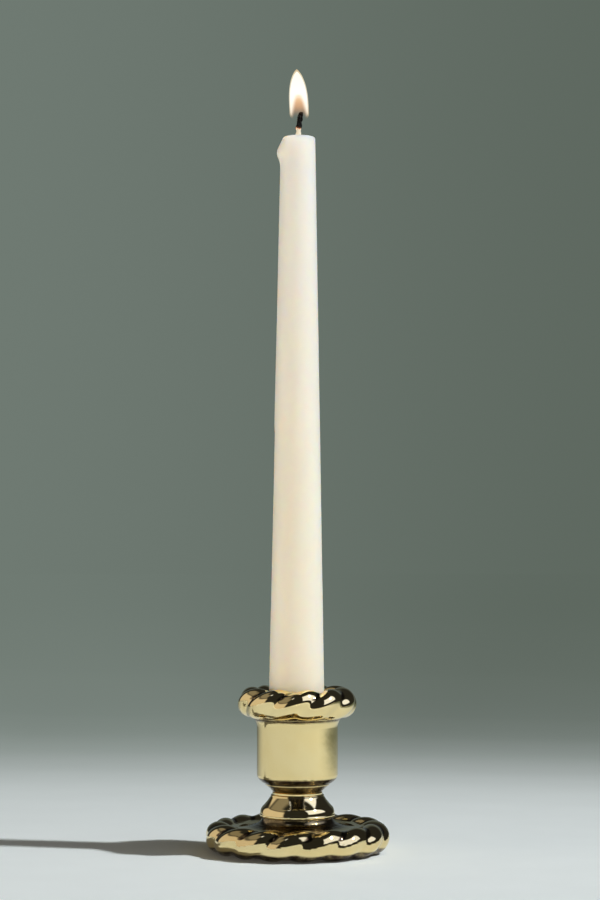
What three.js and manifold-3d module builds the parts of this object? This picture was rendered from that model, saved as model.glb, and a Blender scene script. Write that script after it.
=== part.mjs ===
// A small cast brass candle holder with a lit taper candle standing in it.
// Lengths are in millimetres. Z is up, the origin is on the table under the middle of the base,
// and the side that is seen first faces -Y.
import * as THREE from "three";
import { mergeVertices } from "three/addons/utils/BufferGeometryUtils.js";
import Module from "manifold-3d";

const wasm = await Module();
wasm.setup();

// The candle and its wick
const candleFootRadius = 11;
const candleTopRadius = 7.05;
const candleLength = 248.3;
const candleFootHeight = 26;
const candleFootChamfer = 0.8;
const poolRadius = 5.6;
const poolDepth = 1.2;
const poolEdgeRound = 0.9;
const wickRadius = 1.05;
const wickPlay = 0.3;
const wickStand = 8.8;
const wickLean = 1.1;
const wickKnots = 6;
const wickKnotSwell = 0.13;
const wickTipRadius = 0.65;

// The wax that ran over the left of the rim and down the side
const lipInset = 1;
const lipInsetFade = 2.4;
const lipSwell = 1.75;
const lipSwellDrop = 6.6;
const lipSwellFade = 4.2;
const lipHalfWidth = 4.4;
const runSwell = 0.42;
const runLength = 117;
const runHalfWidth = 2.2;
const runTailFade = 0.8;
const lipSteps = 8;
const runSteps = 3;
const footSteps = 2;

// The cup that the candle stands in
const socketPlay = 0.4;
const socketDepth = 27;
const cupWall = 4.8;
const cupHeight = 36.7;
const cupFootRadius = 10;
const cupFootBand = 0.9;
const cupNeckRadius = 9.7;
const cupConeRadius = 13.9;
const cupConeHeight = 4.8;
const cupConeBendIn = 2.5;
const cupConeBendDown = 1.8;
const cupShoulderHeight = 3.4;
const cupShoulderBend = 1.6;
const cupFlareDrop = 3.6;
const cupFlareBend = 2.6;
const cupFlareEndAngle = -62;
const mouthLip = 0.45;

// The rope round the cup's rim, as the radius of its thickness, its lobes and the crests' angle
const rimRopeThickness = 6.1;
const rimLobes = 10;
const rimStrands = 2;
const rimGrooveDepth = 1.6;
const rimCrestAngle = -96;

// The rope round the base
const baseRopeRadius = 30.9;
const baseRopeThickness = 6.1;
const baseLobes = 16;
const baseStrands = 2;
const baseGrooveDepth = 1.3;
const baseCrestAngle = -76;

// The dish inside the base's rope, and the hub that carries the neck
const hubRadius = 14.3;
const hubThickness = 5.6;
const hubStep = 0.8;
const valleyRise = 3.7;
const valleyBend = 5;
const hubBendOut = 0.4;
const hubBendDown = 2.6;
const pocketCeilingRadius = 13;
const pocketFloorRadius = 19;
const lobeGrinding = 0.1;
const castingLift = 0.3;

// The neck
const collarHeight = 8.6;
const collarFootRadius = 15.1;
const collarTopRadius = 10.7;
const collarEdge = 0.7;
const collarLip = 0.45;
const collarGroove = 0.2;
const collarRoundHeight = 2;
const collarRoundPull = 0.7;
const collarRoundWidth = 0.25;
const collarRoundTop = 0.7;

// The rod, nut and washer that pull the castings together, and the felt under them
const rodRadius = 3;
const rodPlay = 0.3;
const rodGrip = 9;
const rodTail = 0.8;
const rodChamfer = 0.5;
const rodHoleSpare = 0.8;
const nutAcrossFlats = 10;
const nutHeight = 5;
const nutChamfer = 0.7;
const nutRoom = 0.8;
const washerRadius = 6;
const washerThickness = 1.2;
const feltRadius = 26.2;
const feltThickness = 1.2;
const feltPlay = 0.4;

// Steps of the round shapes and of the curves that they are turned from
const roundSteps = 60;
const smallRoundSteps = 24;
const candleSteps = 40;
const wickSteps = 8;
const stepsPerLobe = 6;
const stepsAcrossRope = 18;
const dishCurveSteps = 6;
const cupCurveSteps = 4;
const edgeCurveSteps = 3;

// Sizes that follow from the ones above
const socketRadius = candleFootRadius + socketPlay;
const cupRadius = socketRadius + cupWall;
const rimRopeRadius = socketRadius + mouthLip + rimRopeThickness;
const rodHoleRadius = rodRadius + rodPlay;
const wickHoleRadius = wickRadius + wickPlay;
const recessRadius = feltRadius + feltPlay;

// Heights above the table, from the felt upwards
const baseRopeCentre = castingLift + baseRopeThickness - lobeGrinding;
const rodBottom = feltThickness + nutRoom;
const nutBottom = rodBottom + rodTail;
const washerBottom = nutBottom + nutHeight;
const pocketCeiling = washerBottom + washerThickness;
const hubTop = pocketCeiling + hubThickness;
const collarTop = hubTop + collarHeight;
const rodTop = collarTop + rodGrip;
const rimRopeCentre = collarTop + cupHeight;
const rimTop = rimRopeCentre + rimRopeThickness;
const socketFloor = rimTop - socketDepth;
const candleTop = socketFloor + candleLength;

const polishedBrass = { color: 0xd2bd7e, roughness: 0.06, metalness: 1 };
const platedSteel = { color: 0xb4b4b0, roughness: 0.35, metalness: 1 };
const brownFelt = { color: 0x4a3f37, roughness: 1, metalness: 0 };
const ivoryWax = { color: 0xe8e1cb, roughness: 0.45, metalness: 0 };
const charredCotton = { color: 0x1c1a17, roughness: 0.95, metalness: 0 };

// Turns a geometry into a solid that can be joined and cut.
function solidFrom(geometry) {
  const bare = geometry.clone();
  bare.deleteAttribute("normal");
  bare.deleteAttribute("uv");
  const merged = mergeVertices(bare, 1e-4);
  return new wasm.Manifold(
    new wasm.Mesh({
      numProp: 3,
      vertProperties: merged.attributes.position.array,
      triVerts: new Uint32Array(merged.index.array),
    }),
  );
}

// Turns a solid back into a geometry.
function geometryFrom(solid) {
  const mesh = solid.getMesh();
  const geometry = new THREE.BufferGeometry();
  const position = new Float32Array(mesh.numVert * 3);
  for (let i = 0; i < mesh.numVert; i += 1) {
    const start = i * mesh.numProp;
    position.set(mesh.vertProperties.subarray(start, start + 3), i * 3);
  }
  geometry.setAttribute("position", new THREE.BufferAttribute(position, 3));
  geometry.setIndex(new THREE.BufferAttribute(mesh.triVerts, 1));
  geometry.computeVertexNormals();
  return geometry;
}

// Spins a path of radius and height about Z. A path that ends off the axis is closed on itself.
function turned(path, curveSteps, steps) {
  const points = path.getPoints(curveSteps);
  const first = points[0];
  const last = points[points.length - 1];
  if (last.x > 0 && !last.equals(first)) points.push(first.clone());
  return new THREE.LatheGeometry(points, steps).rotateX(Math.PI / 2);
}

// Moves each vertex of a geometry by a rule that gets and changes its position.
function reshape(geometry, move) {
  const position = geometry.attributes.position;
  const point = new THREE.Vector3();
  for (let i = 0; i < position.count; i += 1) {
    point.fromBufferAttribute(position, i);
    move(point, i);
    position.setXYZ(i, point.x, point.y, point.z);
  }
  geometry.computeVertexNormals();
  return geometry;
}

// A ring of rope: a torus with rounded strands that wind round it, and creases between them.
// The columns of the mesh follow the strands, so that each crease is one line of edges. The last
// row lies on the first one again, shifted by as many lobes as there are strands.
function ropeRing({ radius, thickness, lobes, strands, depth, crestAngle, height }) {
  const columns = lobes * stepsPerLobe;
  const ring = new THREE.TorusGeometry(radius, thickness, stepsAcrossRope, columns);
  const uv = ring.attributes.uv;
  return reshape(ring, (point, i) => {
    const turnedOver = Math.round(uv.getY(i) * stepsAcrossRope) === stepsAcrossRope;
    const row = turnedOver ? 0 : Math.round(uv.getY(i) * stepsAcrossRope);
    const shift = turnedOver ? strands * stepsPerLobe : 0;
    const column = (Math.round(uv.getX(i) * columns) + shift) % columns;
    const section = (2 * Math.PI * row) / stepsAcrossRope;
    const bulge = Math.abs(Math.cos((Math.PI * column) / stepsPerLobe));
    const reach = thickness - depth * (1 - bulge);
    const along = (2 * Math.PI * column) / columns + (section * strands) / lobes;
    const angle = along + THREE.MathUtils.degToRad(crestAngle);
    const fromAxis = radius + reach * Math.cos(section);
    point.set(
      fromAxis * Math.cos(angle),
      fromAxis * Math.sin(angle),
      height + reach * Math.sin(section),
    );
  });
}

// The base: a rope ring, the dish that rises from it to the hub, a pocket for the nut underneath,
// and a shallow recess that the felt is glued into.
function makeBaseCasting() {
  const dishBottom = feltThickness;
  const valley = baseRopeCentre + valleyRise;
  const insideRope = baseRopeRadius - baseRopeThickness / 2;
  const valleyRadius = baseRopeRadius - baseRopeThickness;
  const dishTop = hubTop - hubStep;
  const dish = new THREE.Path();
  dish.moveTo(rodHoleRadius, pocketCeiling);
  dish.lineTo(pocketCeilingRadius, pocketCeiling);
  dish.lineTo(pocketFloorRadius, dishBottom);
  dish.lineTo(insideRope, dishBottom);
  dish.lineTo(insideRope, valley);
  dish.lineTo(valleyRadius, valley);
  dish.bezierCurveTo(
    hubRadius + valleyBend,
    valley,
    hubRadius + hubBendOut,
    dishTop - hubBendDown,
    hubRadius,
    dishTop,
  );
  dish.lineTo(hubRadius, hubTop);
  dish.lineTo(rodHoleRadius, hubTop);

  const rope = ropeRing({
    radius: baseRopeRadius,
    thickness: baseRopeThickness,
    lobes: baseLobes,
    strands: baseStrands,
    depth: baseGrooveDepth,
    crestAngle: baseCrestAngle,
    height: baseRopeCentre,
  });
  const cutWidth = 4 * baseRopeRadius;
  const cutHeight = baseRopeThickness;
  const belowFoot = new THREE.BoxGeometry(cutWidth, cutWidth, cutHeight);
  belowFoot.translate(0, 0, castingLift - cutHeight / 2);
  const recess = new THREE.CylinderGeometry(recessRadius, recessRadius, cutHeight, roundSteps);
  recess.rotateX(Math.PI / 2);
  recess.translate(0, 0, feltThickness - cutHeight / 2);
  return geometryFrom(
    solidFrom(turned(dish, dishCurveSteps, roundSteps))
      .add(solidFrom(rope))
      .subtract(solidFrom(belowFoot))
      .subtract(solidFrom(recess)),
  );
}

// The neck: a loose cone between the base's hub and the foot of the cup, with a lip round its foot.
function makeNeckCollar() {
  const lipTop = hubTop + 2 * collarLip;
  const collar = new THREE.Path();
  collar.moveTo(rodHoleRadius, hubTop);
  collar.lineTo(collarFootRadius - collarLip, hubTop);
  collar.quadraticCurveTo(
    collarFootRadius + collarLip / 2,
    hubTop + collarLip,
    collarFootRadius - collarGroove,
    lipTop,
  );
  collar.quadraticCurveTo(
    collarFootRadius + collarRoundWidth,
    lipTop + collarRoundPull,
    collarFootRadius - collarRoundTop,
    lipTop + collarRoundHeight,
  );
  collar.lineTo(collarTopRadius, collarTop - collarEdge);
  collar.quadraticCurveTo(
    collarTopRadius,
    collarTop,
    collarTopRadius - collarEdge / 2,
    collarTop,
  );
  collar.lineTo(rodHoleRadius, collarTop);
  return turned(collar, edgeCurveSteps, roundSteps);
}

// The cup: a hollowed neck over a narrow foot, a round shoulder, a straight wall with a flare under
// the rope rim, and the candle's socket.
function makeCandleCup() {
  const rodHoleTop = rodTop + rodHoleSpare;
  const shoulder = collarTop + cupConeHeight;
  const wallTop = rimRopeCentre - rimRopeThickness - cupFlareDrop;
  const grooveBottom = rimRopeThickness - rimGrooveDepth;
  const flareEnd = THREE.MathUtils.degToRad(cupFlareEndAngle);
  const cup = new THREE.Path();
  cup.moveTo(0, rodHoleTop);
  cup.lineTo(rodHoleRadius, rodHoleTop);
  cup.lineTo(rodHoleRadius, collarTop);
  cup.lineTo(cupFootRadius, collarTop);
  cup.lineTo(cupFootRadius, collarTop + cupFootBand);
  cup.lineTo(cupNeckRadius, collarTop + cupFootBand);
  cup.quadraticCurveTo(
    cupConeRadius - cupConeBendIn,
    shoulder - cupConeBendDown,
    cupConeRadius,
    shoulder,
  );
  cup.quadraticCurveTo(
    cupRadius,
    shoulder + cupShoulderBend,
    cupRadius,
    shoulder + cupShoulderHeight,
  );
  cup.lineTo(cupRadius, wallTop);
  cup.quadraticCurveTo(
    cupRadius,
    wallTop + cupFlareBend,
    rimRopeRadius + grooveBottom * Math.cos(flareEnd),
    rimRopeCentre + grooveBottom * Math.sin(flareEnd),
  );
  cup.lineTo(rimRopeRadius, rimRopeCentre);
  cup.lineTo(rimRopeRadius - grooveBottom / 2, rimRopeCentre);
  cup.quadraticCurveTo(
    socketRadius,
    rimRopeCentre - grooveBottom / 2,
    socketRadius,
    rimRopeCentre - rimRopeThickness,
  );
  cup.lineTo(socketRadius, socketFloor);
  cup.lineTo(0, socketFloor);

  const rope = ropeRing({
    radius: rimRopeRadius,
    thickness: rimRopeThickness,
    lobes: rimLobes,
    strands: rimStrands,
    depth: rimGrooveDepth,
    crestAngle: rimCrestAngle,
    height: rimRopeCentre,
  });
  return geometryFrom(solidFrom(turned(cup, cupCurveSteps, roundSteps)).add(solidFrom(rope)));
}

// The threaded rod, drawn at its outside diameter.
function makeTieRod() {
  const rod = new THREE.Path();
  rod.moveTo(0, rodBottom);
  rod.lineTo(rodRadius - rodChamfer, rodBottom);
  rod.lineTo(rodRadius, rodBottom + rodChamfer);
  rod.lineTo(rodRadius, rodTop - rodChamfer);
  rod.lineTo(rodRadius - rodChamfer, rodTop);
  rod.lineTo(0, rodTop);
  return turned(rod, 1, smallRoundSteps);
}

// The hexagon nut, with both faces chamfered by a double cone.
function makeHexNut() {
  const cornerRadius = nutAcrossFlats / Math.sqrt(3);
  const hexagon = new THREE.Shape();
  for (let corner = 0; corner < 6; corner += 1) {
    const angle = (corner * Math.PI) / 3;
    const x = cornerRadius * Math.cos(angle);
    const y = cornerRadius * Math.sin(angle);
    if (corner === 0) hexagon.moveTo(x, y);
    else hexagon.lineTo(x, y);
  }
  hexagon.closePath();
  const prism = new THREE.ExtrudeGeometry(hexagon, { depth: nutHeight, bevelEnabled: false });
  prism.translate(0, 0, nutBottom);

  const chamfered = new THREE.Path();
  chamfered.moveTo(rodHoleRadius, nutBottom);
  chamfered.lineTo(nutAcrossFlats / 2, nutBottom);
  chamfered.lineTo(cornerRadius + nutChamfer, nutBottom + nutChamfer);
  chamfered.lineTo(cornerRadius + nutChamfer, nutBottom + nutHeight - nutChamfer);
  chamfered.lineTo(nutAcrossFlats / 2, nutBottom + nutHeight);
  chamfered.lineTo(rodHoleRadius, nutBottom + nutHeight);
  return geometryFrom(
    solidFrom(prism).intersect(solidFrom(turned(chamfered, 1, smallRoundSteps))),
  );
}

function makeFlatWasher() {
  const washer = new THREE.Path();
  washer.moveTo(rodHoleRadius, washerBottom);
  washer.lineTo(washerRadius, washerBottom);
  washer.lineTo(washerRadius, pocketCeiling);
  washer.lineTo(rodHoleRadius, pocketCeiling);
  return turned(washer, 1, smallRoundSteps);
}

// The felt stands a little proud of the casting, so that no brass touches the table.
function makeFeltPad() {
  const felt = new THREE.Path();
  felt.moveTo(0, 0);
  felt.lineTo(feltRadius, 0);
  felt.lineTo(feltRadius, feltThickness);
  felt.lineTo(0, feltThickness);
  return turned(felt, 1, roundSteps);
}

// A smooth hump of height 1 at 0 that is gone by about twice its reach.
function hump(distance, reach) {
  return Math.exp(-((distance / reach) ** 2));
}

// Evenly spaced heights from above low up to and including high.
function heightsUpTo(low, high, count) {
  return Array.from({ length: count }, (_, i) => low + ((high - low) * (i + 1)) / count);
}

// The candle: a straight foot in the socket, a long taper, a pool of melted wax round the wick,
// and the wax that ran over the rim on the left and down the side.
function makeTaperCandle() {
  const footTop = socketFloor + candleFootHeight;
  const poolFloor = candleTop - poolDepth;
  const shoulder = candleTop - poolEdgeRound;
  const lipBottom = candleTop - lipSwellDrop - 2 * lipSwellFade;
  const runBottom = candleTop - runLength;
  const heights = [
    ...heightsUpTo(footTop, runBottom - 2 * runTailFade, footSteps),
    ...heightsUpTo(runBottom - 2 * runTailFade, runBottom + 2 * runTailFade, 2),
    ...heightsUpTo(runBottom + 2 * runTailFade, lipBottom, runSteps),
    ...heightsUpTo(lipBottom, shoulder, lipSteps),
  ];
  const taper = new THREE.Path();
  taper.moveTo(wickHoleRadius, socketFloor);
  taper.lineTo(candleFootRadius - candleFootChamfer, socketFloor);
  taper.lineTo(candleFootRadius, socketFloor + candleFootChamfer);
  taper.lineTo(candleFootRadius, footTop);
  for (const height of heights) {
    const share = (height - footTop) / (candleTop - footTop);
    taper.lineTo(THREE.MathUtils.lerp(candleFootRadius, candleTopRadius, share), height);
  }
  taper.quadraticCurveTo(
    candleTopRadius,
    candleTop,
    candleTopRadius - poolEdgeRound,
    candleTop,
  );
  taper.quadraticCurveTo(poolRadius, candleTop, poolRadius - poolDepth / 2, poolFloor);
  taper.lineTo(wickHoleRadius, poolFloor);

  return reshape(turned(taper, edgeCurveSteps, candleSteps), (point) => {
    const radius = Math.hypot(point.x, point.y);
    if (radius < poolRadius || point.z < footTop) return;
    const below = candleTop - point.z;
    const aside = Math.abs(Math.atan2(point.y, -point.x)) * radius;
    const lip =
      lipSwell * hump(below - lipSwellDrop, lipSwellFade) - lipInset * hump(below, lipInsetFade);
    const run = runSwell / (1 + Math.exp((below - runLength) / runTailFade));
    const swell = lip * hump(aside, lipHalfWidth) + run * hump(aside, runHalfWidth);
    point.x *= (radius + swell) / radius;
    point.y *= (radius + swell) / radius;
  });
}

// The wick: cotton through the whole candle, with a charred, knotted end that leans to the right.
function makeWick() {
  const bottom = socketFloor + candleFootChamfer;
  const wick = new THREE.Path();
  wick.moveTo(0, bottom);
  wick.lineTo(wickRadius, bottom);
  wick.lineTo(wickRadius, candleTop - poolDepth);
  for (let half = 1; half < 2 * wickKnots; half += 1) {
    const swell = half % 2 === 0 ? wickKnotSwell : -wickKnotSwell;
    wick.lineTo(wickRadius + swell, candleTop + (wickStand * half) / (2 * wickKnots));
  }
  wick.lineTo(wickTipRadius, candleTop + wickStand);
  wick.lineTo(0, candleTop + wickStand);
  return reshape(turned(wick, 1, wickSteps), (point) => {
    const above = Math.max(0, point.z - candleTop) / wickStand;
    point.x += wickLean * above ** 2;
  });
}

function piece(name, geometry, finish) {
  const mesh = new THREE.Mesh(geometry, new THREE.MeshStandardMaterial(finish));
  mesh.name = name;
  return mesh;
}

const holder = new THREE.Group();
holder.name = "holder";
holder.add(
  piece("base_casting", makeBaseCasting(), polishedBrass),
  piece("neck_collar", makeNeckCollar(), polishedBrass),
  piece("candle_cup", makeCandleCup(), polishedBrass),
  piece("tie_rod", makeTieRod(), platedSteel),
  piece("hex_nut", makeHexNut(), platedSteel),
  piece("flat_washer", makeFlatWasher(), platedSteel),
  piece("felt_pad", makeFeltPad(), brownFelt),
);

const candle = new THREE.Group();
candle.name = "candle";
candle.add(
  piece("taper_candle", makeTaperCandle(), ivoryWax),
  piece("wick", makeWick(), charredCotton),
);

const candleHolder = new THREE.Group();
candleHolder.name = "taper_candle_holder";
candleHolder.add(holder, candle);

export default candleHolder;
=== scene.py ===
"""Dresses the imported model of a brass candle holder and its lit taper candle, in a small studio.

The pieces are measured in millimetres, and their meshes are scaled to metres last. The finishes and
the studio are measured in metres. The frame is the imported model's: Z up, the table at 0, and the
side that is seen first facing -Y.
"""

import logging
import math
from collections.abc import Callable
from dataclasses import dataclass
from enum import Enum

import bmesh
import bpy
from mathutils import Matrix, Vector, noise

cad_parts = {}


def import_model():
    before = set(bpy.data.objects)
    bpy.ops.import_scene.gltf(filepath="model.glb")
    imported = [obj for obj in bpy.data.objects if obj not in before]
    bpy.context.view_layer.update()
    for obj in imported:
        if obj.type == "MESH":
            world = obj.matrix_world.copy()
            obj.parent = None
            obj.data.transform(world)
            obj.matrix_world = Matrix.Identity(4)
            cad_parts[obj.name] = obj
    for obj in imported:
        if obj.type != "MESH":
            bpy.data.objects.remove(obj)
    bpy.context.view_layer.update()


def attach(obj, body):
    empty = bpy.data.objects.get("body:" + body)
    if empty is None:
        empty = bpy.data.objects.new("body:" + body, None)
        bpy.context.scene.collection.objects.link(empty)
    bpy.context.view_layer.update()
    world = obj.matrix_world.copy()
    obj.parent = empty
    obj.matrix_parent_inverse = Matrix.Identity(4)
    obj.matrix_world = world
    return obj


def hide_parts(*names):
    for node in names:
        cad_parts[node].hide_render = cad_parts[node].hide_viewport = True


log = logging.getLogger("candle_holder")

# Metres in a millimetre.
METRES = 0.001

# Millimetres within which two vertices become one.
MERGED_WITHIN = 0.001

# The most sectors that a turned shape is spun in.
MOST_SECTORS = 20

# Degrees of bend from which an edge stays sharp.
SHARP_FROM = 40.0

# Radians past which two angles aren't neighbours.
APART = 1.0

# The reach of nearly all values of a noise.
NOISE_REACH = (0.3, 0.7)

# Heights at which the collar, the cup and the candle stand on what carries them.
HUB_TOP = 14.6
COLLAR_TOP = 23.2
SOCKET_FLOOR = 39.0

# The radius of the hole that the rod goes through.
ROD_HOLE = 3.3

# The places of a Mix node's colour sockets, whose names its other sockets share.
MIX_COLOURS = (6, 7)
MIX_RESULT = 2

# A point is a radius and a height. A pair is a low and a high value, or a near and a far one.
Point = tuple[float, float]
Pair = tuple[float, float]
Place = tuple[float, float, float]
Colour = tuple[float, float, float]
Stop = tuple[float, Colour, float]


class Body(Enum):
    """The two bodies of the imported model."""

    HOLDER = "holder"
    CANDLE = "candle"


class Slot(Enum):
    """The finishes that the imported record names."""

    BRASS = "polished_brass"
    STEEL = "plated_steel"
    FELT = "brown_felt"
    WAX = "ivory_wax"
    COTTON = "wick_cotton"


# Paths and turned shapes


def smooth_step(low: float, high: float, value: float) -> float:
    """Rises smoothly from 0 at low to 1 at high.

    Args:
        low: Where the rise begins.
        high: Where it ends. It may lie below low, and then the curve falls.
        value: The place to read it at.

    Returns:
        A share from 0 to 1.
    """
    share = min(1.0, max(0.0, (value - low) / (high - low)))
    return share * share * (3.0 - 2.0 * share)


def smooth_max(one: float, other: float, fillet: float) -> float:
    """Gives the larger of two lengths, with a fillet where they are alike."""
    return (one + other + math.hypot(one - other, fillet)) / 2.0


def hump(distance: float, reach: float) -> float:
    """A smooth hump of height 1 at 0 that is gone by about twice its reach."""
    return math.exp(-((distance / reach) ** 2))


def bezier(steps: int, *handles: Point) -> list[Point]:
    """Runs a path from its first handle to its last, drawn towards those between.

    Args:
        steps: Steps of the path.
        handles: The handles, in order. Two make a straight line.

    Returns:
        The points, both ends included.
    """
    order = len(handles) - 1
    path = []
    for i in range(steps + 1):
        t = i / steps
        shares = [math.comb(order, k) * t**k * (1.0 - t) ** (order - k) for k in range(order + 1)]
        path.append(tuple(sum(s * handle[k] for s, handle in zip(shares, handles)) for k in (0, 1)))
    return path


def rounded(corners: list[tuple[float, float, float]], steps: int = 4) -> list[Point]:
    """Lays a path through corners and rounds those that have a rounding.

    Args:
        corners: Radius, height and rounding of each corner.
        steps: Steps of each rounded corner.

    Returns:
        The radius and height of each point of the path.
    """
    path = [corners[0][:2]]
    for before, corner, after in zip(corners, corners[1:], corners[2:]):
        if corner[2] == 0.0:
            path.append(corner[:2])
            continue
        here = Vector(corner[:2])
        ends = [here + (Vector(end[:2]) - here).normalized() * corner[2] for end in (before, after)]
        path += bezier(steps, tuple(ends[0]), tuple(here), tuple(ends[1]))
    path.append(corners[-1][:2])
    return path


@dataclass
class Row:
    """One ring of vertices of a turned shape.

    Attributes:
        radius: Its distance from the axis.
        height: Its height above the table.
        section: On a rope, its angle round the rope's section.
        body: On a rope, how far from the rope's centre the plain casting reaches at that angle.
        twist: How far the ring is turned about the axis.
        dull_and_shade: How little the buff has reached it, and how much painted shade lies on it, from 0 to
            1.
    """

    radius: float
    height: float
    section: float | None = None
    body: float = 0.0
    twist: float = 0.0
    dull_and_shade: float = 0.0


def rows_of(path: list[Point], twist: float = 0.0, dull_and_shade: float = 0.0) -> list[Row]:
    """Makes a row of each point of a path, all with the same twist and dullness."""
    return [Row(*point, twist=twist, dull_and_shade=dull_and_shade) for point in path]


class Turning:
    """A shape that is spun about the axis from rows, and then shaped row by row."""

    def __init__(self, rows: list[Row], columns: int, closed: bool) -> None:
        """Spins the rows into a mesh: first a sector column by column, then sector by sector.

        Args:
            rows: The rows, in order along the profile.
            columns: Vertices round the axis.
            closed: Whether the last row joins the first one.
        """
        self.rows = rows
        self.mesh = bmesh.new()
        self.row_of = self.mesh.verts.layers.int.new("row")
        line = []
        for index, row in enumerate(rows):
            vertex = self.mesh.verts.new((row.radius, 0.0, row.height))
            vertex[self.row_of] = index
            line.append(vertex)
        for start, end in zip(line, line[1:]):
            self.mesh.edges.new((start, end))
        if closed:
            self.mesh.edges.new((line[-1], line[0]))
        around = {"cent": (0.0, 0.0, 0.0), "axis": (0.0, 0.0, 1.0)}
        sectors = max(n for n in range(1, MOST_SECTORS + 1) if columns % n == 0)
        sector = 2.0 * math.pi / sectors
        profile = self.mesh.verts[:] + self.mesh.edges[:]
        bmesh.ops.spin(self.mesh, geom=profile, angle=sector, steps=columns // sectors, **around)
        if sectors > 1:
            first = self.mesh.verts[:] + self.mesh.edges[:] + self.mesh.faces[:]
            rest = 2.0 * math.pi - sector
            bmesh.ops.spin(self.mesh, geom=first, angle=rest, steps=sectors - 1, use_duplicate=True, **around)
        bmesh.ops.remove_doubles(self.mesh, verts=self.mesh.verts, dist=MERGED_WITHIN)

    def shape(self, move: Callable[[bmesh.types.BMVert, Row, float], None]) -> None:
        """Moves every vertex by a rule.

        Args:
            move: Gets the vertex, its row and its angle about the axis.
        """
        for vertex in self.mesh.verts:
            angle = math.atan2(vertex.co.y, vertex.co.x)
            move(vertex, self.rows[vertex[self.row_of]], angle)

    def finish(self, name: str, sharp_from: float = SHARP_FROM) -> bpy.types.Object:
        """Marks the rows' dullness and painted shade, and makes the object.

        Args:
            name: The object's name.
            sharp_from: Edges that bend by more than this many degrees stay sharp.

        Returns:
            The new object, linked to the scene.
        """
        if any(row.dull_and_shade for row in self.rows):
            mark = self.mesh.verts.layers.float.new("dull_and_shade")
            for vertex in self.mesh.verts:
                vertex[mark] = self.rows[vertex[self.row_of]].dull_and_shade
        self.mesh.verts.layers.int.remove(self.row_of)
        return as_object(self.mesh, name, sharp_from)


def as_object(mesh: bmesh.types.BMesh, name: str, sharp_from: float = SHARP_FROM) -> bpy.types.Object:
    """Turns the faces of a mesh outwards, scales it to metres and makes its object.

    Args:
        mesh: The mesh in millimetres, which is freed.
        name: The object's name.
        sharp_from: Edges that bend by more than this many degrees stay sharp.

    Returns:
        The new object, linked to the scene.
    """
    bmesh.ops.recalc_face_normals(mesh, faces=mesh.faces)
    bmesh.ops.scale(mesh, vec=(METRES,) * 3, verts=mesh.verts)
    data = bpy.data.meshes.new(name)
    mesh.to_mesh(data)
    mesh.free()
    data.shade_smooth()
    data.set_sharp_from_angle(angle=math.radians(sharp_from))
    piece = bpy.data.objects.new(name, data)
    bpy.context.scene.collection.objects.link(piece)
    return piece


def dress(piece: bpy.types.Object, material: bpy.types.Material) -> None:
    """Gives an object one material in every slot.

    Args:
        piece: The object.
        material: The material.
    """
    if not piece.material_slots:
        piece.data.materials.append(material)
    for slot in piece.material_slots:
        slot.material = material


def report(piece: bpy.types.Object) -> None:
    """Logs a finished piece."""
    log.info("%s: %d faces", piece.name, len(piece.data.polygons))


# Finishes


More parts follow.
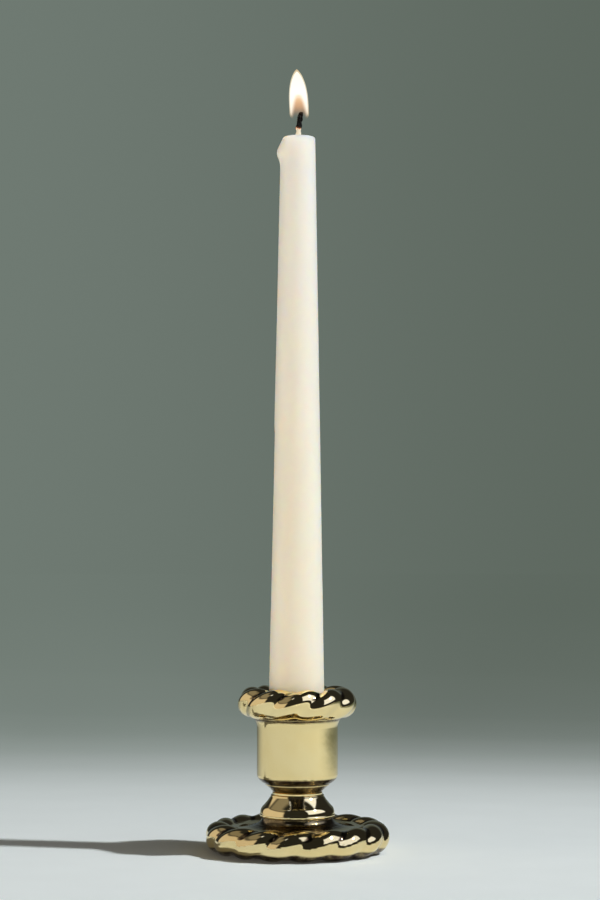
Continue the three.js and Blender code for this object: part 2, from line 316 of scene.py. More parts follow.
class Wiring:
    """A material under construction: its nodes, and short calls to add and join them."""

    def __init__(self, name: str) -> None:
        """Starts a material with a Principled shader and its output.

        Args:
            name: The material's name.
        """
        self.material = bpy.data.materials.new(name)
        self.material.use_nodes = True
        self.tree = self.material.node_tree
        self.shader = self.tree.nodes["Principled BSDF"]
        self.coordinates = self.tree.nodes.new("ShaderNodeTexCoord").outputs["Object"]

    def node(self, kind: str, **settings: object) -> bpy.types.Node:
        """Adds a node and sets its properties.

        Args:
            kind: The node's type.
            settings: Its properties by their names.

        Returns:
            The node.
        """
        made = self.tree.nodes.new(kind)
        for key, value in settings.items():
            setattr(made, key, value)
        return made

    def join(self, source: bpy.types.NodeSocket, target: bpy.types.NodeSocket) -> None:
        """Joins two sockets."""
        self.tree.links.new(source, target)

    def set(self, **values: object) -> None:
        """Sets constants on the shader's own sockets, with _ for the spaces in a socket's name."""
        for key, value in values.items():
            self.shader.inputs[key.replace("_", " ")].default_value = value

    def feed(self, socket: str, source: bpy.types.NodeSocket) -> None:
        """Joins a source to a socket of the shader."""
        self.join(source, self.shader.inputs[socket])

    def attribute(self, name: str) -> bpy.types.NodeSocket:
        """Reads a number that the mesh carries, which is 0 on a mesh without it."""
        return self.node("ShaderNodeAttribute", attribute_name=name).outputs["Fac"]

    def split(self, source: bpy.types.NodeSocket) -> bpy.types.NodeOutputs:
        """Splits a place or direction.

        Args:
            source: The place or direction.

        Returns:
            Its X, Y and Z.
        """
        parts = self.node("ShaderNodeSeparateXYZ")
        self.join(source, parts.inputs[0])
        return parts.outputs

    def height(self) -> bpy.types.NodeSocket:
        """Reads the height above the table."""
        return self.split(self.coordinates)["Z"]

    def length(self, source: bpy.types.NodeSocket) -> bpy.types.NodeSocket:
        """Measures how far a place is from the origin.

        Args:
            source: The place.

        Returns:
            The distance.
        """
        measured = self.node("ShaderNodeVectorMath", operation="LENGTH")
        self.join(source, measured.inputs[0])
        return measured.outputs["Value"]

    def grain(
        self,
        scale: float,
        detail: float = 4.0,
        roughness: float = 0.5,
        stretch: Place = (1.0, 1.0, 1.0),
    ) -> bpy.types.NodeSocket:
        """Adds a noise on the object's own coordinates.

        Args:
            scale: Waves per metre.
            detail: Octaves of the noise.
            roughness: How much the fine octaves count.
            stretch: Share of the scale along each axis.

        Returns:
            The noise, from 0 to 1.
        """
        place = self.node("ShaderNodeMapping")
        place.inputs["Scale"].default_value = stretch
        self.join(self.coordinates, place.inputs["Vector"])
        waves = self.node("ShaderNodeTexNoise")
        for key, value in (("Scale", scale), ("Detail", detail), ("Roughness", roughness)):
            waves.inputs[key].default_value = value
        self.join(place.outputs["Vector"], waves.inputs["Vector"])
        return waves.outputs["Fac"]

    def span(
        self,
        source: bpy.types.NodeSocket,
        low: float,
        high: float,
        start: float = 0.0,
        end: float = 1.0,
    ) -> bpy.types.NodeSocket:
        """Maps start..end of a value smoothly to low..high, and holds it there.

        Args:
            source: The value.
            low: What start becomes.
            high: What end becomes.
            start: The value that becomes low.
            end: The value that becomes high.

        Returns:
            The mapped value.
        """
        mapped = self.node("ShaderNodeMapRange", interpolation_type="SMOOTHSTEP")
        for key, value in (("From Min", start), ("From Max", end), ("To Min", low), ("To Max", high)):
            mapped.inputs[key].default_value = value
        self.join(source, mapped.inputs["Value"])
        return mapped.outputs["Result"]

    def spread(
        self, source: bpy.types.NodeSocket, low: float = 0.0, high: float = 1.0
    ) -> bpy.types.NodeSocket:
        """Maps the reach of a noise smoothly to low..high."""
        return self.span(source, low, high, *NOISE_REACH)

    def ramp(
        self, source: bpy.types.NodeSocket, stops: list[Stop], between: str = "LINEAR"
    ) -> bpy.types.NodeOutputs:
        """Runs a colour and a cover over a value.

        Args:
            source: The value.
            stops: Value, colour and cover of each stop, in order.
            between: How it runs from stop to stop.

        Returns:
            Its Color and Alpha.
        """
        low, high = stops[0][0], stops[-1][0]
        share = self.node("ShaderNodeMapRange")
        share.inputs["From Min"].default_value = low
        share.inputs["From Max"].default_value = high
        self.join(source, share.inputs["Value"])
        hues = self.node("ShaderNodeValToRGB")
        hues.color_ramp.interpolation = between
        elements = hues.color_ramp.elements
        for _ in stops[len(elements):]:
            elements.new(position=0.5)
        for element, (value, colour, cover) in zip(elements, stops):
            element.position = (value - low) / (high - low)
            element.color = (*colour, cover)
        self.join(share.outputs["Result"], hues.inputs["Fac"])
        return hues.outputs

    def blend(
        self,
        share: bpy.types.NodeSocket,
        one: Colour | bpy.types.NodeSocket,
        other: Colour | bpy.types.NodeSocket,
    ) -> bpy.types.NodeSocket:
        """Blends two colours by a share.

        Args:
            share: 0 gives the first colour and 1 the other.
            one: The first colour, or a socket that has it.
            other: The other colour, or a socket that has it.

        Returns:
            The blended colour.
        """
        mixed = self.node("ShaderNodeMix", data_type="RGBA")
        self.join(share, mixed.inputs["Factor"])
        for index, colour in zip(MIX_COLOURS, (one, other)):
            if isinstance(colour, bpy.types.NodeSocket):
                self.join(colour, mixed.inputs[index])
            else:
                mixed.inputs[index].default_value = (*colour, 1.0)
        return mixed.outputs[MIX_RESULT]

    def mix(
        self,
        share: bpy.types.NodeSocket,
        one: bpy.types.NodeSocket,
        other: bpy.types.NodeSocket,
    ) -> bpy.types.NodeSocket:
        """Mixes two shaders by a share.

        Args:
            share: 0 gives the first shader and 1 the other.
            one: The first shader.
            other: The other shader.

        Returns:
            The mixed shader.
        """
        mixed = self.node("ShaderNodeMixShader")
        for socket, source in zip(mixed.inputs, (share, one, other)):
            self.join(source, socket)
        return mixed.outputs[0]

    def maths(
        self,
        operation: str,
        one: bpy.types.NodeSocket,
        other: float | bpy.types.NodeSocket = 0.0,
    ) -> bpy.types.NodeSocket:
        """Works out one value from two.

        Args:
            operation: The Math node's operation.
            one: The first value.
            other: The second value, which some operations don't use.

        Returns:
            The result.
        """
        worked = self.node("ShaderNodeMath", operation=operation)
        self.join(one, worked.inputs[0])
        if isinstance(other, bpy.types.NodeSocket):
            self.join(other, worked.inputs[1])
        else:
            worked.inputs[1].default_value = other
        return worked.outputs[0]

    def plus(
        self, one: bpy.types.NodeSocket, other: float | bpy.types.NodeSocket
    ) -> bpy.types.NodeSocket:
        """Adds two values."""
        return self.maths("ADD", one, other)

    def times(
        self, one: bpy.types.NodeSocket, other: float | bpy.types.NodeSocket
    ) -> bpy.types.NodeSocket:
        """Multiplies two values."""
        return self.maths("MULTIPLY", one, other)

    def relief(self, *layers: tuple[bpy.types.NodeSocket, float]) -> None:
        """Lays bumps over each other on the shader.

        Args:
            layers: Each bump's height from 0 to 1 and its depth.
        """
        below = None
        for source, depth in layers:
            bump = self.node("ShaderNodeBump")
            bump.inputs["Strength"].default_value = 1.0
            bump.inputs["Distance"].default_value = depth
            self.join(source, bump.inputs["Height"])
            if below is not None:
                self.join(below, bump.inputs["Normal"])
            below = bump.outputs["Normal"]
        self.feed("Normal", below)


@dataclass(frozen=True)
class PolishedBrass:
    """Cast brass, buffed bright: tarnished in its creases, dark where the buff hasn't reached, and darkened
    with painted shade where dark reflections and the table's mirrored shadow fall.

    The meshes carry two numbers for it, from 0 to 1: crease and dull, which both carry painted
    shade too. A reach is the part of such a number, or of a noise, over which a share rises.
    """

    bright: Colour = (0.95, 0.775, 0.41)
    warm: Colour = (0.92, 0.73, 0.355)
    warm_reach: Pair = (0.35, 0.7)
    tarnish_and_shade: Colour = (0.09, 0.055, 0.03)
    crease_reach: Pair = (0.48, 0.64)
    least_crease_darkening: float = 0.7
    patina_and_shade: Colour = (0.045, 0.027, 0.018)
    least_patina_and_shade: float = 0.75
    spot_reach: Pair = (0.3, 0.6)
    roughness: float = 0.035
    hazy_roughness: float = 0.075
    haze_reach: Pair = (0.4, 0.75)
    crease_roughness: float = 0.04
    dull_roughness: float = 0.10
    waviness: float = 0.000035
    buffing: float = 0.0000012
    tool_pitch: float = 0.0008
    tool_marks: float = 0.00006
    tool_wander: float = 6.0
    pitting: float = 0.00013

    def material(self) -> bpy.types.Material:
        """Makes the brass material.

        Returns:
            The material.
        """
        wiring = Wiring("polished_brass_finish")
        clouds = wiring.grain(scale=70.0, detail=3.0)
        spots = wiring.grain(scale=420.0, detail=5.0, roughness=0.6)
        tone = wiring.blend(wiring.span(clouds, 0.0, 1.0, *self.warm_reach), self.bright, self.warm)
        # The crease number darkens the upper creases, as tarnished brass, and paints shade on the line where
        # the cup's rope meets the casting below.
        creased = wiring.span(wiring.attribute("crease"), 0.0, 1.0, *self.crease_reach)
        creased = wiring.times(creased, wiring.span(spots, self.least_crease_darkening, 1.0, *self.spot_reach))
        # The dull number darkens the brass towards near black: brass that is not buffed in part, and painted
        # shade on the dish, the neck, the lines under the cup's rim and the base rope's underside.
        unbuffed_and_shaded = wiring.attribute("dull_and_shade")
        uneven = wiring.times(unbuffed_and_shaded, wiring.span(spots, self.least_patina_and_shade, 1.0, *self.spot_reach))
        tarnished_and_shaded = wiring.blend(creased, tone, self.tarnish_and_shade)
        wiring.feed("Base Color", wiring.blend(uneven, tarnished_and_shaded, self.patina_and_shade))
        shine = wiring.span(spots, self.roughness, self.hazy_roughness, *self.haze_reach)
        shine = wiring.plus(shine, wiring.times(creased, self.crease_roughness))
        wiring.feed("Roughness", wiring.plus(shine, wiring.times(uneven, self.dull_roughness)))
        wiring.set(Metallic=1.0)
        pits = wiring.grain(scale=1300.0, detail=2.0, stretch=(0.4, 0.4, 1.5))
        wiring.relief(
            (wiring.grain(scale=150.0, detail=2.0), self.waviness),
            (wiring.grain(scale=5200.0, detail=2.0, stretch=(1.0, 1.0, 0.12)), self.buffing),
            (wiring.times(self.turned_lines(wiring), unbuffed_and_shaded), self.tool_marks),
            (wiring.times(pits, unbuffed_and_shaded), self.pitting),
        )
        return wiring.material

    def turned_lines(self, wiring: Wiring) -> bpy.types.NodeSocket:
        """Makes the rings that the turning tool left: waves over the distance from the axis plus the height.

        Args:
            wiring: The material that they are made in.

        Returns:
            The waves, from 0 to 1.
        """
        parts = wiring.split(wiring.coordinates)
        level = wiring.node("ShaderNodeCombineXYZ")
        for side in ("X", "Y"):
            wiring.join(parts[side], level.inputs[side])
        along = wiring.plus(wiring.length(level.outputs[0]), parts["Z"])
        phase = wiring.times(along, 2.0 * math.pi / self.tool_pitch)
        phase = wiring.plus(phase, wiring.span(wiring.grain(scale=60.0), 0.0, self.tool_wander))
        return wiring.span(wiring.maths("SINE", phase), 0.0, 1.0, -1.0, 1.0)


@dataclass(frozen=True)
class PlatedSteel:
    """Zinc-plated steel of the hidden fasteners, with a brushed grain and cloudy plating."""

    light: Colour = (0.62, 0.62, 0.60)
    dark: Colour = (0.42, 0.42, 0.41)
    roughness: Pair = (0.25, 0.45)
    brushing: float = 0.00001

    def material(self) -> bpy.types.Material:
        """Makes the steel material.

        Returns:
            The material.
        """
        wiring = Wiring("plated_steel_finish")
        clouds = wiring.grain(scale=350.0, detail=5.0)
        brushed = wiring.grain(scale=2500.0, detail=3.0, stretch=(1.0, 1.0, 0.1))
        wiring.feed("Base Color", wiring.blend(wiring.spread(clouds), self.light, self.dark))
        wiring.feed("Roughness", wiring.spread(clouds, *self.roughness))
        wiring.set(Metallic=1.0)
        wiring.relief((brushed, self.brushing))
        return wiring.material


@dataclass(frozen=True)
class BrownFelt:
    """Pressed wool felt: mottled fibres and a soft sheen."""

    light: Colour = (0.11, 0.085, 0.062)
    dark: Colour = (0.045, 0.034, 0.025)
    roughness: Pair = (0.85, 1.0)
    mottle_depth: float = 0.0003
    fibre_depth: float = 0.00015

    def material(self) -> bpy.types.Material:
        """Makes the felt material.

        Returns:
            The material.
        """
        wiring = Wiring("brown_felt_finish")
        mottle = wiring.grain(scale=260.0, detail=6.0, roughness=0.7)
        fibres = wiring.grain(scale=2600.0, detail=4.0, roughness=0.65, stretch=(1.0, 0.35, 1.0))
        wiring.feed("Base Color", wiring.blend(wiring.spread(mottle), self.dark, self.light))
        wiring.feed("Roughness", wiring.spread(fibres, *self.roughness))
        wiring.set(Sheen_Weight=0.5, Sheen_Roughness=0.5, Specular_IOR_Level=0.2)
        wiring.relief((mottle, self.mottle_depth), (fibres, self.fibre_depth))
        return wiring.material


@dataclass(frozen=True)
class IvoryWax:
    """Ivory candle wax: light goes deep into it, and near the flame it has melted and glows.

    Attributes:
        ivory: Its colour.
        milky: The colour of its clouds.
        flame_lit_colour: Its colour higher up, a painted light that stands in for the flame's glow.
        pale: The heights between which that painted flame light comes in.
        melting: The heights between which it turns glossy.
        melted_gloss: How much less rough it is there.
        glowing: The heights between which the flame lights it up from inside.
        glow: The colour of that light.
        glow_strength: How bright that light is.
        depth: How deep light goes.
        roughness: Its least and most roughness.
        cloud_depth: How deep its slow waves are.
        dimple_depth: How deep its fine dimples are.
    """

    ivory: Colour = (0.755, 0.705, 0.605)
    milky: Colour = (0.785, 0.74, 0.65)
    flame_lit_colour: Colour = (0.785, 0.74, 0.70)
    pale: Pair = (0.10, 0.29)
    melting: Pair = (0.277, 0.287)
    melted_gloss: float = 0.2
    glowing: Pair = (0.272, 0.290)
    glow: Colour = (1.0, 0.80, 0.78)
    glow_strength: float = 0.09
    depth: float = 0.016
    roughness: Pair = (0.42, 0.56)
    cloud_depth: float = 0.00012
    dimple_depth: float = 0.00002

    def material(self) -> bpy.types.Material:
        """Makes the wax material.

        Returns:
            The material.
        """
        wiring = Wiring("ivory_wax_finish")
        clouds = wiring.grain(scale=55.0, detail=5.0, stretch=(1.0, 1.0, 0.35))
        dimples = wiring.grain(scale=380.0, detail=4.0)
        tone = wiring.blend(wiring.spread(clouds), self.ivory, self.milky)
        height = wiring.height()
        # Painted light: the wax turns whiter towards the top, standing in for the flame's light on it.
        wiring.feed("Base Color", wiring.blend(wiring.span(height, 0.0, 1.0, *self.pale), tone, self.flame_lit_colour))
        gloss = wiring.times(wiring.span(height, 0.0, 1.0, *self.melting), self.melted_gloss)
        wiring.feed("Roughness", wiring.maths("SUBTRACT", wiring.spread(dimples, *self.roughness), gloss))
        wiring.set(
            IOR=1.44,
            Subsurface_Weight=1.0,
            Subsurface_Radius=(1.0, 0.72, 0.42),
            Subsurface_Scale=self.depth,
            Emission_Color=(*self.glow, 1.0),
        )
        wiring.feed("Emission Strength", wiring.span(height, 0.0, self.glow_strength, *self.glowing))
        wiring.relief((clouds, self.cloud_depth), (dimples, self.dimple_depth))
        return wiring.material


@dataclass(frozen=True)
class CharredCotton:
    """The wick: pale waxed cotton at its foot, charred black above, with an ember where it turns.

    Attributes:
        waxed: The colour of its foot.
        char: The colour of the charred part.
        ash: The colour of the flecks on it.
        charring: The heights between which it turns black.
        unevenness: How far up and down the turn wanders.
        fleck_reach: The reach of the noise over which a fleck turns to ash.
        ember: The colour of the ember.
        ember_rise: The heights between which the ember lights up.
        ember_fall: The heights between which it is gone again.
        ember_strength: How bright it is.
        ember_reach: The reach of the noise over which it is lit.
        roughness: Its least and most roughness.
        fibre_depth: How deep its fibres are.
    """

    waxed: Colour = (0.86, 0.78, 0.62)
    char: Colour = (0.005, 0.0045, 0.004)
    ash: Colour = (0.016, 0.014, 0.012)
    charring: Pair = (0.2888, 0.2896)
    unevenness: float = 0.0003
    fleck_reach: Pair = (0.45, 0.7)
    ember: Colour = (1.0, 0.22, 0.03)
    ember_rise: Pair = (0.2888, 0.2892)
    ember_fall: Pair = (0.2893, 0.2899)
    ember_strength: float = 0.45
    ember_reach: Pair = (0.45, 0.6)
    roughness: Pair = (0.75, 1.0)
    fibre_depth: float = 0.0001

    def material(self) -> bpy.types.Material:
        """Makes the wick's material.

        Returns:
            The material.
        """
        wiring = Wiring("charred_cotton_finish")
        flecks = wiring.grain(scale=1500.0)
        height = wiring.plus(wiring.height(), wiring.spread(flecks, -self.unevenness, self.unevenness))
        black = wiring.blend(wiring.span(flecks, 0.0, 1.0, *self.fleck_reach), self.char, self.ash)
        charred = wiring.span(height, 0.0, 1.0, *self.charring)
        wiring.feed("Base Color", wiring.blend(charred, self.waxed, black))
        rising = wiring.span(height, 0.0, 1.0, *self.ember_rise)
        falling = wiring.span(height, 1.0, 0.0, *self.ember_fall)
        patchy = wiring.span(wiring.grain(scale=700.0), 0.0, self.ember_strength, *self.ember_reach)
        wiring.set(Emission_Color=(*self.ember, 1.0), Specular_IOR_Level=0.15)
        wiring.feed("Emission Strength", wiring.times(wiring.times(rising, falling), patchy))
        wiring.feed("Roughness", wiring.span(flecks, *self.roughness))
        wiring.relief((wiring.grain(scale=3500.0), self.fibre_depth))
        return wiring.material


@dataclass(frozen=True)
class FlameGlow:
    """One veil of the flame: a glowing gas, dimmer and thinner over the hollow round the wick.

    The veil's mesh carries a number for it: hollow, from 0 to 1.

    Attributes:
        name: The material's name.
        gas: Millimetres above the flame's foot, colour and how much it hides, from the bottom up.
        hollow: The same over the hollow.
        strength: How brightly it glows.
    """

    name: str
    gas: tuple[Stop, ...]
    hollow: tuple[Stop, ...]
    strength: float = 1.0

    def material(self, foot: float) -> bpy.types.Material:
        """Makes the veil's material.

        Args:
            foot: The height of the flame's foot in millimetres.

        Returns:
            The material.
        """
        wiring = Wiring(self.name)
        ramps = []
        for stops in (self.gas, self.hollow):
            raised = [((foot + place) * METRES, colour, cover) for place, colour, cover in stops]
            ramps.append(wiring.ramp(wiring.height(), raised))
        wiring.set(
            Base_Color=(0.0, 0.0, 0.0, 1.0),
            Roughness=1.0,
            Specular_IOR_Level=0.0,
            Emission_Strength=self.strength,
        )
        over_hollow = wiring.attribute("hollow")
        for socket, output in (("Emission Color", "Color"), ("Alpha", "Alpha")):
            wiring.feed(socket, wiring.blend(over_hollow, *(ramp[output] for ramp in ramps)))
        return wiring.material


# The rope twists of the two castings


@dataclass(frozen=True)
class RopeTwist:
    """A ring of rope cast into the brass: strands that wind round it, with creases between them.

    Attributes:
        radius: From the axis to the middle of the rope.
        thickness: The radius of the rope's section at a crest.
        lobes: Crests round the ring.
        strands: Strands that the rope is laid from.
        depth: How deep the creases are.
        crest_angle: Where a crest stands, in degrees.
        height: Height of the rope's middle above the table.
        softness: How round the bottoms of the creases are.
        crowding: How much closer the columns stand at the creases.
        fillet: How softly the rope runs into the plain casting.
        shallows: Section angles between which the creases lose depth on the underside.
        shallows_loss: The share of their depth that they lose there.
        joint_shade: How wide the line of painted shade is where the strands meet the plain casting below.
        dusty: Section angles between which the creases begin to be tarnished.
    """

    radius: float
    thickness: float
    lobes: int
    strands: int
    depth: float
    crest_angle: float
    height: float
    softness: float
    crowding: float = 0.35
    fillet: float = 0.3
    shallows: Pair = (-20.0, -60.0)
    shallows_loss: float = 0.0
    joint_shade: float = 0.0
    dusty: Pair = (5.0, 30.0)

    def rows(self, start: float, end: float, steps: int, casting: list[Point]) -> list[Row]:
        """Makes the rows round the rope's section.

        Args:
            start: The first angle in degrees, 0 on the outside and 90 on top.
            end: The last angle.
            steps: Steps from one to the other.
            casting: The plain casting's path where it meets the rope.

        Returns:
            The rows with their angle, their twist and the casting's reach.
        """
        made = []
        for i in range(steps + 1):
            section = math.radians(start + (end - start) * i / steps)
            body = self.casting_reach(section, casting)
            radius, height = self.at(section, max(self.thickness, body))
            made.append(Row(radius, height, section, body, twist=self.strands * section / self.lobes))
        return made

    def at(self, section: float, reach: float) -> Point:
        """Gives the radius and height at an angle of the section and a distance from its middle."""
        return self.radius + reach * math.cos(section), self.height + reach * math.sin(section)

    def casting_reach(self, section: float, casting: list[Point]) -> float:
        """Finds how far from the rope's middle the plain casting reaches.

        Args:
            section: The angle round the rope's section.
            casting: The casting's path where it meets the rope.

        Returns:
            The distance, or 0 where the path doesn't cross that angle.
        """
        for ends in zip(casting, casting[1:]):
            angles = []
            reaches = []
            for radius, height in ends:
                aside, above = radius - self.radius, height - self.height
                angles.append((math.atan2(above, aside) - section + math.pi) % (2.0 * math.pi) - math.pi)
                reaches.append(math.hypot(aside, above))
            between = angles[0] - angles[1]
            if angles[0] * angles[1] <= 0.0 and abs(between) < APART:
                share = angles[0] / between if between else 0.0
                return reaches[0] + (reaches[1] - reaches[0]) * share
        return 0.0

    def press(self, turning: Turning, floor: float = -math.inf) -> None:
        """Presses the strands into a turned casting, and marks the creases for the finish.

        Args:
            turning: The turned casting, with the rope's rows among its own.
            floor: Height that the casting is ground flat to.
        """
        mark = turning.mesh.verts.layers.float.new("crease")
        crest = math.radians(self.crest_angle)
        whole = math.hypot(1.0, self.softness)

        def move(vertex: bmesh.types.BMVert, row: Row, angle: float) -> None:
            """Moves one vertex to its place on a strand or crease, and marks it.

            Args:
                vertex: The vertex.
                row: Its row.
                angle: Its angle about the axis.
            """
            phase = self.lobes * angle
            phase += self.crowding * math.sin(phase)
            bulge = math.hypot(math.cos(phase / 2.0), self.softness) / whole
            radius, height = row.radius, row.height
            if row.section is not None:
                section = math.degrees(row.section)
                shallow = self.shallows_loss * smooth_step(*self.shallows, section)
                strand = self.thickness - self.depth * (1.0 - shallow) * (1.0 - bulge)
                radius, height = self.at(row.section, smooth_max(strand, row.body, self.fillet))
                if section > 0.0 and row.body < strand:
                    vertex[mark] = (1.0 - bulge) * smooth_step(*self.dusty, section)
                # Painted shade: a dark line where the strands meet the plain casting below.
                elif self.joint_shade and section < 0.0:
                    vertex[mark] = hump(row.body - strand, self.joint_shade)
            turned = crest + phase / self.lobes + row.twist
            vertex.co = (radius * math.cos(turned), radius * math.sin(turned), max(height, floor))

        turning.shape(move)


# The holder


@dataclass
class BaseCasting:
    """The foot of the holder: a rope ring, a dish that rises to the hub, and a pocket for the nut.

    The dish is drawn from the hub's edge to the valley, which is where it meets the rope. A reach
    is the radii, or the rope's section angles, over which the painted shade on the dish and on the
    rope's underside begins or ends; the brass is rougher there too.
    """

    rope: RopeTwist = RopeTwist(
        radius=30.9,
        thickness=6.1,
        lobes=16,
        strands=2,
        depth=1.45,
        crest_angle=-76.0,
        height=6.3,
        softness=0.32,
    )
    columns_per_lobe: int = 32
    rope_start: float = 148.5
    rope_end: float = -121.0
    rope_steps: int = 72
    rope_overlap_above: float = 1.0
    rope_overlap_below: float = 2.0
    ground_height: float = 0.3
    valley_rise: float = 3.7
    valley_bend: float = 5.0
    hub_radius: float = 14.3
    hub_top: float = HUB_TOP
    hub_step: float = 0.8
    hub_bend_out: float = 0.4
    hub_bend_down: float = 2.6
    dish_steps: int = 22
    edge: float = 0.25
    rod_hole_radius: float = ROD_HOLE
    pocket_ceiling: float = 9.0
    pocket_ceiling_radius: float = 13.0
    pocket_floor_radius: float = 19.0
    underside: float = 1.2
    underside_inset: float = 0.4
    underside_steps: int = 3
    unwinding_steps: int = 12
    dish_dull_and_shade: float = 0.86
    dish_shade_reach: Pair = (17.0, 22.0)
    rope_dull: float = 0.10
    underside_shade_reach: Pair = (-31.0, -39.0)

    def build(self, brass: bpy.types.Material) -> bpy.types.Object:
        """Builds and dresses the casting.

        Args:
            brass: Its finish.

        Returns:
            The casting.
        """
        valley = self.rope.height + self.valley_rise
        valley_radius = self.rope.radius - self.rope.thickness
        inside_rope = self.rope.radius - self.rope.thickness / 2.0
        dish_top = self.hub_top - self.hub_step
        casting = [
            (valley_radius - self.rope_overlap_above, valley),
            (inside_rope, valley),
            (inside_rope, self.underside),
            (inside_rope - self.rope_overlap_below, self.underside),
        ]
        dish = bezier(
            self.dish_steps,
            (self.hub_radius, dish_top),
            (self.hub_radius + self.hub_bend_out, dish_top - self.hub_bend_down),
            (self.hub_radius + self.valley_bend, valley),
            (valley_radius, valley),
        )
        top = rounded(
            [
                (self.rod_hole_radius, self.hub_top, 0.0),
                (self.hub_radius, self.hub_top, self.edge),
                (*dish[0], 0.0),
            ]
        )
        strands = self.rope.rows(self.rope_start, self.rope_end, self.rope_steps, casting)
        under = bezier(
            self.underside_steps,
            (inside_rope - self.underside_inset, self.underside),
            (self.pocket_floor_radius, self.underside),
        )
        pocket_rim = (self.pocket_ceiling_radius, self.pocket_ceiling)
        # Painted shade: the hub's top and the dish are darkened, fading out towards the rope, and are
        # rougher.
        rows = rows_of(top, strands[0].twist, self.dish_dull_and_shade)
        for point in dish[1:-1]:
            dull_and_shade = self.dish_dull_and_shade * (1.0 - smooth_step(*self.dish_shade_reach, point[0]))
            rows.append(Row(*point, twist=strands[0].twist, dull_and_shade=dull_and_shade))
        # Painted shade: the rope's underside is darkened, standing in for the table's shadow mirrored in the
        # brass.
        for strand in strands:
            underside_shade = smooth_step(*self.underside_shade_reach, math.degrees(strand.section))
            strand.dull_and_shade = max(self.rope_dull, underside_shade)
        rows += strands
        rows += rows_of([*under, pocket_rim], strands[-1].twist)
        rows += self.unwound(strands[-1].twist, strands[0].twist)
        turning = Turning(rows, self.rope.lobes * self.columns_per_lobe, closed=True)
        self.rope.press(turning, floor=self.ground_height)
        piece = turning.finish("base_casting_polished")
        dress(piece, brass)
        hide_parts("base_casting")
        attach(piece, Body.HOLDER.value)
        return piece

    def unwound(self, start: float, end: float) -> list[Row]:
        """Turns the columns back on the flat ceiling of the pocket, where that can't be seen.

        Args:
            start: The twist at the rim of the ceiling.
            end: The twist at the rod's hole.

        Returns:
            The rows from the rim to the hole.
        """
        width = self.pocket_ceiling_radius - self.rod_hole_radius
        rows = []
        for i in range(1, self.unwinding_steps + 1):
            share = i / self.unwinding_steps
            radius = self.pocket_ceiling_radius - width * share
            rows.append(Row(radius, self.pocket_ceiling, twist=start + (end - start) * share))
        return rows


@dataclass
class NeckCollar:
    """The loose cone between the base's hub and the foot of the cup.

    From the bottom up: a flat lip, a groove that sets it off, a round foot, one long hollow curve
    that the waist draws in, and a brow at the top edge.
    """

    columns: int = 192
    bottom: float = HUB_TOP
    top: float = COLLAR_TOP
    foot_radius: float = 15.1
    top_radius: float = 10.7
    rod_hole_radius: float = ROD_HOLE
    lip: float = 0.75
    lip_round: float = 0.12
    groove: float = 0.1
    round_height: float = 2.85
    round_pull: float = 1.95
    round_width: float = 0.3
    round_top: float = 1.05
    round_steps: int = 14
    waist_radius: float = 12.05
    waist_height: float = 5.74
    side_steps: int = 16
    edge: float = 0.7
    brow_steps: int = 6

    def build(self, brass: bpy.types.Material) -> bpy.types.Object:
        """Builds and dresses the collar.

        Args:
            brass: Its finish.

        Returns:
            The collar.
        """
        lip_top = self.bottom + self.lip + self.groove
        groove = (self.foot_radius - self.groove, lip_top)
        pull = (self.foot_radius - self.round_width, lip_top + self.round_pull)
        cone_start = (self.foot_radius - self.round_top, lip_top + self.round_height)
        waist = (self.waist_radius, self.bottom + self.waist_height)
        cone_end = (self.top_radius, self.top - self.edge)
        corner = (self.top_radius, self.top)
        brow_end = (self.top_radius - self.edge / 2.0, self.top)
        lip = rounded(
            [
                (self.foot_radius - self.lip / 2.0, self.bottom, 0.0),
                (self.foot_radius, self.bottom, self.lip_round),
                (self.foot_radius, self.bottom + self.lip, self.lip_round),
                (*groove, 0.0),
            ]
        )
        foot = bezier(self.round_steps, groove, pull, cone_start)[1:]
        side = bezier(self.side_steps, cone_start, waist, cone_end)[1:]
        brow = bezier(self.brow_steps, cone_end, corner, brow_end)[1:]
        hole = [(self.rod_hole_radius, height) for height in (self.bottom, self.top)]
        path = [hole[0], *lip, *foot, *side, *brow, hole[1]]
        turning = Turning(rows_of(path), self.columns, closed=True)
        piece = turning.finish("neck_collar_polished", sharp_from=60.0)
        dress(piece, brass)
        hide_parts("neck_collar")
        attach(piece, Body.HOLDER.value)
        return piece


